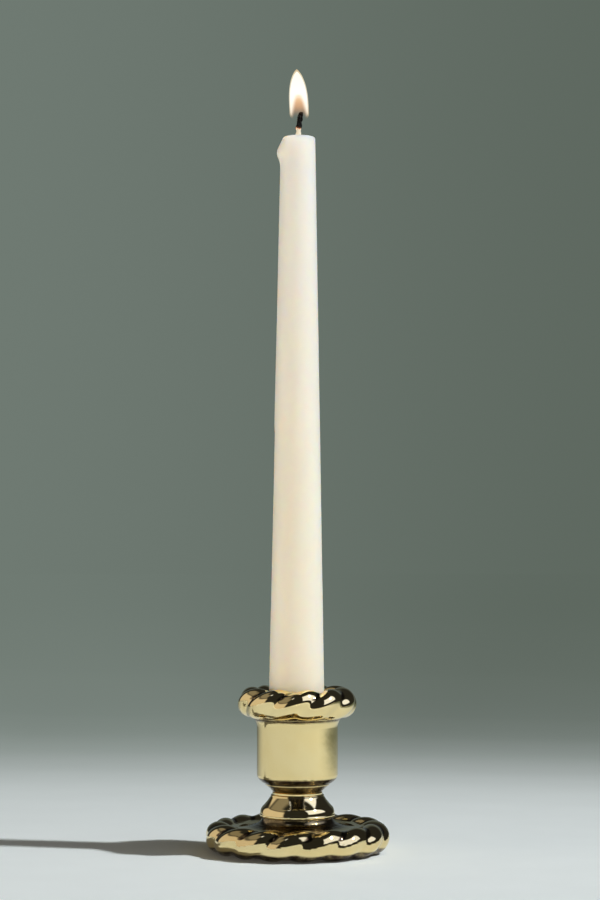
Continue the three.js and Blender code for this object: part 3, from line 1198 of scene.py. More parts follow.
@dataclass
class CandleCup:
    """The cup: a coned foot, a straight wall, a flare under the rope rim, and the candle's socket.

    From the bottom up: a band, a neck that is not buffed with a bright step in it, a cone, a shoulder,
    the wall, the flare, the rope and the mouth of the socket. Painted shade darkens the neck, the cone
    and the foot of the shoulder. A shade line is a height under the rim that painted shade darkens, and
    how far up and down it reaches; the brass is rougher there too.
    and how far up and down it is dull.
    """

    rope: RopeTwist = RopeTwist(
        radius=17.95,
        thickness=6.1,
        lobes=10,
        strands=2,
        depth=2.05,
        crest_angle=-96.0,
        height=59.9,
        softness=0.4,
        shallows_loss=0.5,
        joint_shade=0.45,
    )
    columns_per_lobe: int = 48
    rope_start: float = -90.0
    rope_end: float = 206.0
    rope_steps: int = 78
    rope_gap_below: float = 1.0
    rope_gap_inside: float = 0.15
    bottom: float = COLLAR_TOP
    foot_radius: float = 10.0
    foot_band: float = 0.9
    edge: float = 0.3
    neck_radius: float = 9.7
    neck_steps: int = 12
    neck_dull_and_shade: float = 0.92
    step_radius: float = 12.85
    step_height: float = 3.9
    step_rise: float = 0.45
    step_dull: float = 0.1
    step_margin: float = 0.05
    cone_radius: float = 13.9
    cone_height: float = 4.8
    cone_bend_in: float = 2.5
    cone_bend_down: float = 1.8
    cone_steps: int = 3
    shoulder_height: float = 3.4
    shoulder_bend: float = 1.6
    shoulder_steps: int = 16
    darkening_ends: Pair = (29.7, 30.3)
    radius: float = 16.2
    wall_steps: int = 6
    flare_drop: float = 3.6
    flare_bend: float = 2.6
    flare_end: float = -62.0
    flare_steps: int = 24
    socket_radius: float = 11.4
    socket_floor: float = SOCKET_FLOOR
    mouth_steps: int = 16
    rod_hole_radius: float = ROD_HOLE
    rod_hole_top: float = 33.0
    shade_lines: tuple[Pair, ...] = ((53.3, 0.6),)

    def build(self, brass: bpy.types.Material) -> bpy.types.Object:
        """Builds and dresses the cup.

        Args:
            brass: Its finish.

        Returns:
            The cup.
        """
        wall_top = self.rope.height - self.rope.thickness - self.flare_drop
        crease = self.rope.thickness - self.rope.depth
        flare = bezier(
            self.flare_steps,
            (self.radius, wall_top),
            (self.radius, wall_top + self.flare_bend),
            self.rope.at(math.radians(self.flare_end), crease),
        )
        mouth = bezier(
            self.mouth_steps,
            (self.rope.radius - crease / 2.0, self.rope.height),
            (self.socket_radius, self.rope.height - crease / 2.0),
            (self.socket_radius, self.rope.height - self.rope.thickness),
        )
        strands = self.rope.rows(self.rope_start, self.rope_end, self.rope_steps, flare + mouth)
        # Painted shade: dark lines on the rope's underside, at the shade lines' heights.
        for strand in strands:
            if strand.section < 0.0:
                strand.dull_and_shade = self.shade_line_share(strand.height)
        foot = self.foot_path()
        neck = self.neck_path(foot[-1])
        wall = bezier(self.wall_steps, neck[-1], (self.radius, wall_top))[1:]
        inside = [point for point in mouth if point[1] < strands[-1].height - self.rope_gap_inside]
        inside += [(self.socket_radius, self.socket_floor), (0.0, self.socket_floor)]
        start, end = strands[0].twist, strands[-1].twist
        rows = rows_of(foot, start)
        # Painted shade: the neck and the cone are darkened as well as left rough.
        rows += [Row(*point, twist=start, dull_and_shade=self.neck_darkness(point[1])) for point in neck]
        rows += rows_of(wall, start)
        # Painted shade: dark lines on the flare under the rope, at the shade lines' heights.
        rows += [Row(*p, twist=start, dull_and_shade=self.shade_line_share(p[1])) for p in flare[1:] if self.before_rope(p)]
        rows += strands
        rows += rows_of(inside, end)
        turning = Turning(rows, self.rope.lobes * self.columns_per_lobe, closed=False)
        self.rope.press(turning)
        piece = turning.finish("candle_cup_polished")
        dress(piece, brass)
        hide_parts("candle_cup")
        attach(piece, Body.HOLDER.value)
        return piece

    def foot_path(self) -> list[Point]:
        """Draws the blind hole for the rod, the foot and its band.

        Returns:
            The path from the axis to the neck.
        """
        return rounded(
            [
                (0.0, self.rod_hole_top, 0.0),
                (self.rod_hole_radius, self.rod_hole_top, 0.0),
                (self.rod_hole_radius, self.bottom, 0.0),
                (self.foot_radius, self.bottom, self.edge),
                (self.foot_radius, self.bottom + self.foot_band, self.edge / 2.0),
                (self.neck_radius, self.bottom + self.foot_band, 0.0),
            ]
        )

    def neck_path(self, start: Point) -> list[Point]:
        """Draws the neck with its step, the cone and the shoulder.

        Args:
            start: Where the foot ends.

        Returns:
            The path to the bottom of the wall, without its start.
        """
        step = self.bottom + self.step_height
        shoulder = self.bottom + self.cone_height
        bend = (self.cone_radius - self.cone_bend_in, shoulder - self.cone_bend_down)
        step_top = (self.step_radius, step + self.step_rise)
        cone_top = (self.cone_radius, shoulder)
        shoulder_bend = (self.radius, shoulder + self.shoulder_bend)
        wall_bottom = (self.radius, shoulder + self.shoulder_height)
        path = [*bezier(self.neck_steps, start, bend, (self.step_radius, step))[1:], step_top]
        path += bezier(self.cone_steps, step_top, cone_top)[1:]
        path += bezier(self.shoulder_steps, cone_top, shoulder_bend, wall_bottom)[1:]
        return path

    def neck_darkness(self, height: float) -> float:
        """Tells how far from buffed the brass is between the foot and the wall, and how much painted shade
        darkens it.

        Args:
            height: The height.

        Returns:
            A share from 0 to 1.
        """
        step = self.bottom + self.step_height
        if height < step - self.step_margin:
            return self.neck_dull_and_shade
        if height < step + self.step_rise:
            return self.step_dull
        return 1.0 - smooth_step(*self.darkening_ends, height)

    def shade_line_share(self, height: float) -> float:
        """Tells how much painted shade, with rougher brass, the shade lines lay at a height under the rope.
        """
        return min(1.0, sum(hump(height - middle, reach) for middle, reach in self.shade_lines))

    def before_rope(self, point: Point) -> bool:
        """Tells whether a point of the flare comes before the rope's first row."""
        aside, above = point[0] - self.rope.radius, point[1] - self.rope.height
        return math.degrees(math.atan2(above, aside)) < self.rope_start - self.rope_gap_below


@dataclass
class Fasteners:
    """The rod, nut and washer inside the foot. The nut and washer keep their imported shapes."""

    columns: int = 48
    rows_per_turn: int = 8
    rod_radius: float = 3.0
    rod_bottom: float = 2.0
    rod_top: float = 32.2
    chamfer: float = 0.5
    pitch: float = 1.0
    thread_depth: float = 0.55

    def build(self, steel: bpy.types.Material) -> bpy.types.Object:
        """Builds the threaded rod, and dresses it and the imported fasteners.

        Args:
            steel: The finish of all three.

        Returns:
            The threaded rod.
        """
        steps = round((self.rod_top - self.rod_bottom) / self.pitch * self.rows_per_turn)
        side = bezier(steps, (self.rod_radius, self.rod_bottom), (self.rod_radius, self.rod_top))
        path = [(0.0, self.rod_bottom), *side, (0.0, self.rod_top)]
        turning = Turning(rows_of(path), self.columns, closed=False)
        turning.shape(self.cut_thread)
        piece = turning.finish("tie_rod_threaded", sharp_from=80.0)
        dress(piece, steel)
        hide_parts("tie_rod")
        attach(piece, Body.HOLDER.value)
        for name in ("hex_nut", "flat_washer"):
            dress(bpy.data.objects[name], steel)
        return piece

    def cut_thread(self, vertex: bmesh.types.BMVert, row: Row, angle: float) -> None:
        """Cuts the thread into the rod at one vertex, and chamfers the rod's ends.

        Args:
            vertex: The vertex.
            row: Its row.
            angle: Its angle about the axis.
        """
        if row.radius == 0.0:
            return
        turn = (row.height / self.pitch - angle / (2.0 * math.pi)) % 1.0
        from_end = min(row.height - self.rod_bottom, self.rod_top - row.height)
        radius = self.rod_radius - self.thread_depth * abs(2.0 * turn - 1.0)
        radius = min(radius, self.rod_radius - self.chamfer + from_end)
        vertex.co.x = radius * math.cos(angle)
        vertex.co.y = radius * math.sin(angle)


@dataclass
class FeltPad:
    """The felt disc that is glued under the base: soft cut edges and an uneven nap."""

    radius: float = 26.2
    thickness: float = 1.2
    softness: float = 0.35
    edge_round: float = 0.315
    edge_steps: int = 5
    columns: int = 160
    rings: int = 26
    nap: float = 0.05
    nap_scale: float = 1.7

    def build(self, felt: bpy.types.Material) -> bpy.types.Object:
        """Builds and dresses the pad.

        Args:
            felt: Its finish.

        Returns:
            The pad.
        """
        edge = self.radius - self.softness
        bottom = bezier(self.rings, (0.0, 0.0), (edge, 0.0))
        side = rounded(
            [
                (edge, 0.0, 0.0),
                (self.radius, 0.0, self.edge_round),
                (self.radius, self.thickness, self.edge_round),
                (edge, self.thickness, 0.0),
            ],
            self.edge_steps,
        )
        top = bezier(self.rings, (edge, self.thickness), (0.0, self.thickness))
        turning = Turning(rows_of(bottom + side[1:-1] + top), self.columns, closed=False)
        turning.shape(self.press_nap)
        piece = turning.finish("felt_pad_pressed", sharp_from=70.0)
        dress(piece, felt)
        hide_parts("felt_pad")
        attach(piece, Body.HOLDER.value)
        return piece

    def press_nap(self, vertex: bmesh.types.BMVert, row: Row, angle: float) -> None:
        """Presses the nap unevenly at one vertex, always into the pad.

        Args:
            vertex: The vertex.
            row: Its row.
            angle: Its angle about the axis; it is not used.
        """
        inward = self.nap * (1.0 + noise.noise(vertex.co * self.nap_scale)) / 2.0
        if row.height < self.thickness / 2.0:
            vertex.co.z += inward
        else:
            vertex.co.z -= inward
        if row.radius > self.radius - self.softness:
            shrunk = 1.0 - inward / self.radius
            vertex.co.x *= shrunk
            vertex.co.y *= shrunk


# The candle


@dataclass(frozen=True)
class CandleAxis:
    """The candle's axis: it leans a little in its socket.

    Attributes:
        low: The height that it leans from, at the socket's mouth.
        high: The height that it leans to, at the candle's top.
        low_x: How far to the right it is up to the low height.
        high_x: How far to the right it is from the high one.
    """

    low: float = 66.0
    high: float = 286.0
    low_x: float = -0.3
    high_x: float = 0.4

    def at(self, height: float) -> float:
        """Tells how far to the right the axis is at a height."""
        share = min(1.0, max(0.0, (height - self.low) / (self.high - self.low)))
        return self.low_x + (self.high_x - self.low_x) * share


@dataclass
class TaperCandle:
    """The taper: a straight foot in the socket, a long taper, a melted top and the wax that ran over it.

    The wax swells into a lip on the left of the rim, and a thin run goes down from it. The edge
    under the rim is drawn in a little there. A fade is the distance over which such a form is lost.
    """

    axis: CandleAxis = CandleAxis()
    columns: int = 180
    foot_radius: float = 11.0
    foot_height: float = 26.0
    foot_chamfer: float = 0.8
    foot_round: float = 0.3
    top_radius: float = 6.75
    bottom: float = SOCKET_FLOOR
    length: float = 246.9
    fine_length: float = 130.0
    fine_steps: int = 120
    coarse_steps: int = 30
    pool_radius: float = 5.6
    pool_depth: float = 1.2
    edge_round: float = 0.9
    rim_steps: int = 8
    wick_hole_radius: float = 1.35
    lip_inset: float = 0.8
    lip_inset_fade: float = 2.0
    lip_swell: float = 1.5
    lip_swell_drop: float = 6.2
    lip_swell_fade: float = 3.0
    lip_half_width: float = 4.4
    run_swell: float = 0.25
    run_length: float = 117.0
    run_half_width: float = 2.2
    run_tail_fade: float = 0.8
    unevenness: float = 0.05
    uneven_scale: Place = (0.08, 0.08, 0.03)

    def build(self, wax: bpy.types.Material) -> bpy.types.Object:
        """Builds and dresses the candle.

        Args:
            wax: Its finish.

        Returns:
            The candle.
        """
        top = self.bottom + self.length
        foot_top = self.bottom + self.foot_height
        pool_floor = top - self.pool_depth
        foot = rounded(
            [
                (self.wick_hole_radius, self.bottom, 0.0),
                (self.foot_radius - self.foot_chamfer, self.bottom, self.foot_round),
                (self.foot_radius, self.bottom + self.foot_chamfer, self.foot_round),
                (self.foot_radius, foot_top, 0.0),
            ]
        )
        shoulder = self.on_taper(top - self.edge_round)
        fine_start = self.on_taper(top - self.edge_round - self.fine_length)
        rim = (self.top_radius - self.edge_round, top)
        pool = (self.pool_radius - self.pool_depth / 2.0, pool_floor)
        path = foot + bezier(self.coarse_steps, foot[-1], fine_start)[1:]
        path += bezier(self.fine_steps, fine_start, shoulder)[1:]
        path += bezier(self.rim_steps, shoulder, (self.top_radius, top), rim)[1:]
        path += bezier(self.rim_steps, rim, (self.pool_radius, top), pool)[1:]
        path.append((self.wick_hole_radius, pool_floor))
        turning = Turning(rows_of(path), self.columns, closed=True)
        turning.shape(self.run_wax)
        piece = turning.finish("taper_candle_waxed", sharp_from=60.0)
        dress(piece, wax)
        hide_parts("taper_candle")
        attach(piece, Body.CANDLE.value)
        return piece

    def on_taper(self, height: float) -> Point:
        """Finds the plain taper's radius at a height.

        Args:
            height: The height.

        Returns:
            The radius and the height.
        """
        share = (height - self.bottom - self.foot_height) / (self.length - self.foot_height)
        return self.foot_radius + (self.top_radius - self.foot_radius) * share, height

    def run_wax(self, vertex: bmesh.types.BMVert, row: Row, angle: float) -> None:
        """Lays the wax that ran over the left of the rim, and the dip's unevenness, at one vertex.

        Args:
            vertex: The vertex.
            row: Its row.
            angle: Its angle about the axis.
        """
        if row.radius >= self.pool_radius and row.height >= self.bottom + self.foot_height:
            below = self.bottom + self.length - row.height
            aside = (math.pi - abs(angle)) * row.radius
            lip = self.lip_swell * hump(below - self.lip_swell_drop, self.lip_swell_fade)
            lip -= self.lip_inset * hump(below, self.lip_inset_fade)
            run = self.run_swell / (1.0 + math.exp((below - self.run_length) / self.run_tail_fade))
            swell = lip * hump(aside, self.lip_half_width) + run * hump(aside, self.run_half_width)
            swell += self.unevenness * noise.noise(vertex.co * Vector(self.uneven_scale))
            grown = (row.radius + swell) / row.radius
            vertex.co.x *= grown
            vertex.co.y *= grown
        vertex.co.x += self.axis.at(row.height)


@dataclass
class Wick:
    """The braided wick: straight through the candle, charred and leaning above it.

    The charred part has knots and uneven fibres, and swells over a reach of its length. Its rows
    are fine from a little below the pool's floor.
    """

    axis: CandleAxis = CandleAxis()
    columns: int = 48
    radius: float = 1.05
    bottom: float = 39.8
    candle_top: float = TaperCandle.bottom + TaperCandle.length
    pool_floor: float = candle_top - TaperCandle.pool_depth
    stand: float = 10.2
    lean: float = 1.15
    fine_below: float = 2.0
    fine_steps: int = 90
    coarse_steps: int = 60
    crown: float = 0.5
    crown_steps: int = 5
    tip_radius: float = 0.65
    knots: int = 6
    knot_swell: float = 0.13
    char_swell: float = 0.12
    char_reach: Pair = (0.2, 0.35)
    char_unevenness: float = 0.22
    char_scale: float = 1.3
    char_noise_from: Place = (4.0, 0.0, 0.0)
    plaits: int = 3
    plait_depth: float = 0.16
    plait_pitch: float = 2.4

    def build(self, cotton: bpy.types.Material) -> bpy.types.Object:
        """Builds and dresses the wick.

        Args:
            cotton: Its finish.

        Returns:
            The wick.
        """
        top = self.candle_top + self.stand
        hidden_end = (self.radius, self.pool_floor - self.fine_below)
        crown_start = (self.radius, top - self.crown)
        hidden = bezier(self.coarse_steps, (self.radius, self.bottom), hidden_end)
        shown = bezier(self.fine_steps, hidden_end, crown_start)[1:]
        crown = bezier(self.crown_steps, crown_start, (self.tip_radius, top), (0.0, top))[1:]
        path = [(0.0, self.bottom), *hidden, *shown, *crown]
        turning = Turning(rows_of(path), self.columns, closed=False)
        turning.shape(self.plait)
        piece = turning.finish("wick_charred", sharp_from=70.0)
        dress(piece, cotton)
        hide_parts("wick")
        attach(piece, Body.CANDLE.value)
        return piece

    def plait(self, vertex: bmesh.types.BMVert, row: Row, angle: float) -> None:
        """Plaits the strands at one vertex, swells the charred knots and leans the end to the right.

        Args:
            vertex: The vertex.
            row: Its row.
            angle: Its angle about the axis.
        """
        above = max(0.0, row.height - self.candle_top) / self.stand
        slope = 2.0 * math.pi * row.height / self.plait_pitch
        strands = [abs(math.cos((self.plaits * angle + way * slope) / 2.0)) for way in (1.0, -1.0)]
        reach = self.radius - self.plait_depth * (1.0 - max(strands))
        if above > 0.0:
            reach += self.char_swell * (1.0 - above) * smooth_step(*self.char_reach, above)
            reach += self.knot_swell * math.sin(math.pi * self.knots * above)
            place = vertex.co * self.char_scale + Vector(self.char_noise_from)
            reach += self.char_unevenness * noise.noise(place)
        if row.radius > 0.0:
            share = row.radius / self.radius
            vertex.co.x = reach * share * math.cos(angle)
            vertex.co.y = reach * share * math.sin(angle)
        vertex.co.x += self.axis.at(row.height) + self.lean * above * above


@dataclass
class Flame:
    """The flame: a bright teardrop, a white heart in it, and the dim hollow round the wick.

    Attributes:
        outside: The glow of the teardrop.
        heart: The glow of the heart.
        heart_share: The heart's width as a share of the teardrop's.
        columns: Vertices round each veil.
        steps: Steps from its foot to its tip.
        bottom: Height of the flame's foot.
        height: From there to its tip.
        half_width: Half its width.
        widest: The share of its height at which it begins to taper.
        foot_share: The share of its height that its round foot takes.
        tip_power: How late the taper begins to show.
        tip_fullness: How blunt the tip is.
        foot_x: How far to the right its foot is.
        tip_x: How far to the right its tip is.
        lean_power: How much of the lean is near the tip.
        hollow_top: Height of the hollow's tip.
        hollow_width: The hollow's width as a share of the flame's.
        hollow_softness: How softly its sides fade, as a share of the flame's half width.
        hollow_fade: The share of its height over which its tip fades.
    """

    outside: FlameGlow = FlameGlow(
        "flame_outside_glow",
        gas=(
            (0.0, (1.0, 0.62, 0.34), 0.0),
            (2.4, (1.0, 0.78, 0.50), 0.22),
            (6.0, (1.0, 0.88, 0.68), 0.45),
            (12.0, (1.0, 0.90, 0.70), 0.45),
            (18.2, (1.0, 0.86, 0.58), 0.50),
            (20.7, (1.0, 0.72, 0.40), 0.35),
        ),
        hollow=(
            (2.2, (0.42, 0.27, 0.17), 0.0),
            (4.2, (0.55, 0.33, 0.19), 0.30),
            (6.6, (0.80, 0.45, 0.24), 0.66),
            (10.0, (1.0, 0.74, 0.42), 0.70),
        ),
    )
    heart: FlameGlow = FlameGlow(
        "flame_heart_glow",
        gas=(
            (0.6, (1.0, 0.80, 0.56), 0.0),
            (4.0, (1.0, 0.93, 0.80), 0.50),
            (9.0, (1.0, 1.0, 0.96), 0.95),
            (19.8, (1.0, 1.0, 0.96), 0.95),
        ),
        hollow=(
            (3.6, (0.5, 0.3, 0.2), 0.0),
            (7.1, (0.80, 0.50, 0.30), 0.10),
            (10.0, (1.0, 0.75, 0.48), 0.30),
        ),
        strength=1.3,
    )
    heart_share: float = 0.90
    columns: int = 96
    steps: int = 96
    bottom: float = 292.4
    height: float = 20.7
    half_width: float = 3.85
    widest: float = 0.30
    foot_share: float = 0.14
    tip_power: float = 2.5
    tip_fullness: float = 0.75
    foot_x: float = 0.84
    tip_x: float = -0.28
    lean_power: float = 1.25
    hollow_top: float = 302.8
    hollow_width: float = 0.84
    hollow_softness: float = 0.26
    hollow_fade: float = 0.12

    def build(self) -> list[bpy.types.Object]:
        """Builds and dresses the two veils.

        Returns:
            The veils, outside first.
        """
        return [
            self.veil("flame_outside", 1.0, self.outside),
            self.veil("flame_heart", self.heart_share, self.heart),
        ]

    def veil(self, name: str, share: float, glow: FlameGlow) -> bpy.types.Object:
        """Spins one veil, leans it and marks the hollow on it.

        Args:
            name: The veil's name.
            share: Its width as a share of the flame's.
            glow: Its finish, whose first and last stops are its foot and tip.

        Returns:
            The veil.
        """
        foot, tip = glow.gas[0][0], glow.gas[-1][0]
        path = []
        for i in range(self.steps + 1):
            along = i / self.steps
            height = self.bottom + foot + (tip - foot) * along
            path.append((self.half_width * share * self.outline(along), height))
        turning = Turning(rows_of(path), self.columns, closed=False)
        mark = turning.mesh.verts.layers.float.new("hollow")

        def lean(vertex: bmesh.types.BMVert, row: Row, angle: float) -> None:
            """Marks how much of the hollow is behind one vertex, and leans it.

            Args:
                vertex: The vertex.
                row: Its row.
                angle: Its angle about the axis; it is not used.
            """
            along = max(0.0, (row.height - self.bottom) / self.height)
            vertex[mark] = self.hollowness(abs(vertex.co.x) / self.half_width, row.height)
            vertex.co.x += self.foot_x + (self.tip_x - self.foot_x) * along**self.lean_power

        turning.shape(lean)
        piece = turning.finish(name, sharp_from=180.0)
        dress(piece, glow.material(self.bottom))
        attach(piece, Body.CANDLE.value)
        return piece

    def hollowness(self, aside: float, height: float) -> float:
        """Tells how much of the hollow lies behind a place of a veil, seen from the front.

        Args:
            aside: The place's distance from the flame's middle, as a share of its half width.
            height: Its height.

        Returns:
            A share from 0 to 1.
        """
        below = (self.hollow_top - height) / (self.hollow_top - self.bottom)
        if below <= 0.0:
            return 0.0
        edge = self.hollow_width * math.sqrt(below)
        inside = smooth_step(edge + self.hollow_softness, edge - self.hollow_softness, aside)
        return inside * smooth_step(0.0, self.hollow_fade, below)

    def outline(self, along: float) -> float:
        """Draws the teardrop.

        Args:
            along: A share of its height.

        Returns:
            Its half width there, from 0 to 1.
        """
        rise = min(1.0, along / self.foot_share)
        taper = max(0.0, (along - self.widest) / (1.0 - self.widest))
        return math.sqrt(rise * (2.0 - rise)) * (1.0 - taper**self.tip_power) ** self.tip_fullness


# The studio


class WorldWiring(Wiring):
    """The same short calls for the world's nodes."""

    def __init__(self, world: bpy.types.World) -> None:
        """Starts from the world's own nodes.

        Args:
            world: The world.
        """
        self.tree = world.node_tree
        self.background = self.tree.nodes["Background"]


@dataclass(frozen=True)
class RoomPatch:
    """A bright part of the room that the brass mirrors, by its angles as seen from the holder.

    Attributes:
        left: Its left edge in degrees from the camera, to the right.
        right: Its right edge.
        bottom: Its lower edge above the horizon.
        top: Its upper edge.
        softness: How many degrees its edges take to fade.
        colour: Its colour.
    """

    left: float
    right: float
    bottom: float
    top: float
    softness: float
    colour: Colour

    def share(
        self, room: WorldWiring, around: bpy.types.NodeSocket, up: bpy.types.NodeSocket
    ) -> bpy.types.NodeSocket:
        """Tells how much of the patch lies in a direction.

        Args:
            room: The world that it is made in.
            around: The direction's angle from the camera in radians.
            up: Its angle above the horizon.

        Returns:
            A share from 0 to 1.
        """
        fade = math.radians(self.softness)
        across, upwards = (
            room.times(
                room.span(source, 0.0, 1.0, math.radians(low), math.radians(low) + fade),
                room.span(source, 1.0, 0.0, math.radians(high) - fade, math.radians(high)),
            )
            for source, low, high in ((around, self.left, self.right), (up, self.bottom, self.top))
        )
        return room.times(across, upwards)


@dataclass(frozen=True)
class Lamp:
    """An area lamp that looks at the holder.

    Attributes:
        name: Its name.
        place: Where it hangs.
        size: Its width and height.
        glow: How bright its face is, where 1 is white.
        colour: Its colour.
        mirrored: Whether the brass mirrors it.
        watts_per_glow: The watts that a square metre of it needs for a glow of 1.
        aim: The place that it looks at.
    """

    name: str
    place: Place
    size: Pair
    glow: float
    colour: Colour
    mirrored: bool = False
    watts_per_glow: float = 5.0
    aim: Place = (0.0, 0.0, 0.14)

    def hang(self) -> None:
        """Hangs the lamp."""
        data = bpy.data.lights.new(self.name, "AREA")
        data.shape = "RECTANGLE"
        data.size, data.size_y = self.size
        data.energy = self.glow * self.size[0] * self.size[1] * self.watts_per_glow
        data.color = self.colour
        lamp = bpy.data.objects.new(self.name, data)
        lamp.location = self.place
        lamp.rotation_euler = (Vector(self.place) - Vector(self.aim)).to_track_quat("Z", "Y").to_euler()
        lamp.visible_camera = False
        lamp.visible_glossy = self.mirrored
        bpy.context.scene.collection.objects.link(lamp)


@dataclass
class Studio:
    """The table, the backdrop, the lights and the camera.

    Attributes:
        floor_radius: The table's radius.
        floor_sides: The corners of its edge.
        floor_near: Its colour round the holder.
        floor_mottle: The share of that colour that its mottling goes down to.
        fading: How far behind the lit part, and how much of the backdrop's colour is there.
        slants: Where the lit part's edge turns, to the right of the holder, and how steeply.
        sweep: The colour of the table's outer part.
        sweep_from: The distances over which that colour begins.
        sweep_to: The distances over which it runs into the backdrop's.
        backdrop_left: The backdrop's colour on the left.
        backdrop_right: Its colour on the right.
        backdrop_reach: How far aside a direction is where those colours are whole.
        flag_reach: How far away the near and the far edge of the flag, a dark veil, are.
        flag_height: Its height above the table.
        flag_angles: The angles of its ends in degrees from the camera, to the right.
        flag_steps: Steps from one end to the other.
        flag_fade: The angles between which it gets its cover.
        flag_cover: How much it hides.
        camera_place: Where the camera stands.
        lens: Its focal length in millimetres.
        sensor: The width of its sensor in millimetres.
        shift: How far the picture is shifted up, as a share of its height.
        clip: The nearest and farthest distance that it sees.
        lamps: The lamps.
        room_front: The colour of the room that the brass mirrors.
        room_back: Its colour behind the holder.
        back_reach: How far back a direction is where that colour begins and is whole.
        horizon: The colour of the pale horizon round the table.
        horizon_reach: How far up a direction is where that is whole and ends.
        horizon_front: How far back a direction is where that is whole and ends.
        fill: The light of the room on all that isn't mirrored.
        patches: The bright parts of the room.
    """

    floor_radius: float = 6.0
    floor_sides: int = 96
    floor_near: Colour = (0.93, 0.975, 0.965)
    floor_mottle: float = 0.985
    fading: tuple[Pair, ...] = (
        (0.0, 0.0),
        (0.18, 0.14),
        (0.25, 0.27),
        (0.32, 0.46),
        (0.41, 0.67),
        (0.53, 0.84),
        (0.70, 0.925),
        (1.2, 0.972),
        (2.4, 0.99),
        (4.5, 1.0),
    )
    slants: tuple[Pair, ...] = ((0.03, 0.25), (0.213, 0.64), (-0.17, 0.8))
    sweep: Colour = (0.60, 0.64, 0.63)
    sweep_from: Pair = (0.75, 1.10)
    sweep_to: Pair = (1.20, 4.0)
    backdrop_left: Colour = (0.160, 0.196, 0.170)
    backdrop_right: Colour = (0.112, 0.139, 0.116)
    backdrop_reach: float = 0.16
    flag_reach: Pair = (0.15, 0.80)
    flag_height: float = 0.001
    flag_angles: Pair = (-106.0, -190.0)
    flag_steps: int = 24
    flag_fade: Pair = (-108.0, -150.0)
    flag_cover: float = 0.35
    camera_place: Place = (0.00104, -0.944, 0.1288)
    lens: float = 94.4
    sensor: float = 36.0
    shift: float = 80.0 / 900.0
    clip: Pair = (0.05, 50.0)
    lamps: tuple[Lamp, ...] = (
        Lamp("key", (6.64, -1.57, 7.31), (0.44, 0.44), 815.0, (0.96, 1.0, 1.025), mirrored=True),
        Lamp("softbox", (1.24, -0.58, 1.46), (1.4, 1.2), 0.50, (1.0, 1.0, 1.0)),
        Lamp("left_fill", (-1.5, -0.55, 0.12), (1.2, 0.22), 9.0, (1.0, 0.87, 0.70)),
        Lamp("front_fill", (0.25, -1.6, 0.12), (1.2, 0.22), 8.0, (1.0, 0.90, 0.80)),
    )
    room_front: Colour = (0.022, 0.023, 0.024)
    room_back: Colour = (0.110, 0.135, 0.140)
    back_reach: Pair = (0.80, 0.97)
    horizon: Colour = (0.66, 0.68, 0.64)
    horizon_reach: Pair = (0.01, 0.06)
    horizon_front: Pair = (-0.2, 0.35)
    fill: Colour = (0.02, 0.022, 0.02)
    patches: tuple[RoomPatch, ...] = (
        RoomPatch(-146.0, -48.0, 34.0, 68.0, 9.0, (0.245, 0.225, 0.19)),
        RoomPatch(-140.0, -40.0, -6.0, 38.0, 9.0, (0.66, 0.59, 0.51)),
        RoomPatch(33.0, 104.0, 16.0, 61.0, 5.0, (1.0, 1.1, 1.5)),
        RoomPatch(-53.0, -38.0, 58.0, 70.0, 3.0, (1.0, 1.1, 1.5)),
    )

    def build(self) -> None:
        """Builds the whole studio."""
        self.place_camera()
        self.lay_table()
        self.lay_flag()
        self.hang_backdrop()
        for lamp in self.lamps:
            lamp.hang()

    def place_camera(self) -> None:
        """Stands the camera level in front of the holder."""
        data = bpy.data.cameras.new("studio_camera")
        data.lens = self.lens
        data.sensor_width = self.sensor
        data.shift_y = self.shift
        data.clip_start, data.clip_end = self.clip
        camera = bpy.data.objects.new("studio_camera", data)
        camera.location = self.camera_place
        camera.rotation_euler = (math.pi / 2.0, 0.0, 0.0)
        bpy.context.scene.collection.objects.link(camera)
        bpy.context.scene.camera = camera

    def lay_table(self) -> None:
        """Lays the pale table, which runs into the backdrop's colour far behind the holder.

        The eye sees its outer part in the sweep's colour, and the brass sees it pale.
        """
        mesh = bmesh.new()
        radius = self.floor_radius / METRES
        bmesh.ops.create_circle(mesh, cap_ends=True, segments=self.floor_sides, radius=radius)
        table = as_object(mesh, "table")
        wiring = Wiring("table_surface")
        mottle = wiring.spread(wiring.grain(scale=35.0))
        darker = tuple(part * self.floor_mottle for part in self.floor_near)
        wiring.feed("Base Color", wiring.blend(mottle, self.floor_near, darker))
        wiring.set(Roughness=0.75, Specular_IOR_Level=0.2)
        away = wiring.length(wiring.coordinates)
        eye = wiring.node("ShaderNodeLightPath").outputs["Is Camera Ray"]
        outer = wiring.times(wiring.span(away, 0.0, 1.0, *self.sweep_from), eye)
        rise = wiring.span(away, 0.0, 1.0, *self.sweep_to)
        swept = wiring.blend(rise, self.sweep, self.backdrop_colour(wiring, wiring.coordinates))
        sweep = wiring.node("ShaderNodeEmission")
        wiring.join(swept, sweep.inputs["Color"])
        far = wiring.node("ShaderNodeEmission")
        wiring.join(self.backdrop_colour(wiring, wiring.coordinates), far.inputs["Color"])
        stops = [(place, (share,) * 3, 1.0) for place, share in self.fading]
        behind = wiring.ramp(self.depth_into_dark(wiring), stops, "CARDINAL")["Color"]
        near = wiring.mix(outer, wiring.shader.outputs[0], sweep.outputs[0])
        surface = wiring.tree.nodes["Material Output"].inputs["Surface"]
        wiring.join(wiring.mix(behind, near, far.outputs[0]), surface)
        dress(table, wiring.material)

    def depth_into_dark(self, wiring: Wiring) -> bpy.types.NodeSocket:
        """Measures how far a place is behind the lit part, whose edge runs from far left to near right.

        Args:
            wiring: The material that it is made in.

        Returns:
            The distance.
        """
        parts = wiring.split(wiring.coordinates)
        depth = parts["Y"]
        for start, slope in self.slants:
            operation = "MAXIMUM" if start > 0.0 else "MINIMUM"
            beyond = wiring.maths(operation, wiring.maths("SUBTRACT", parts["X"], start))
            depth = wiring.plus(depth, wiring.times(beyond, slope))
        return depth

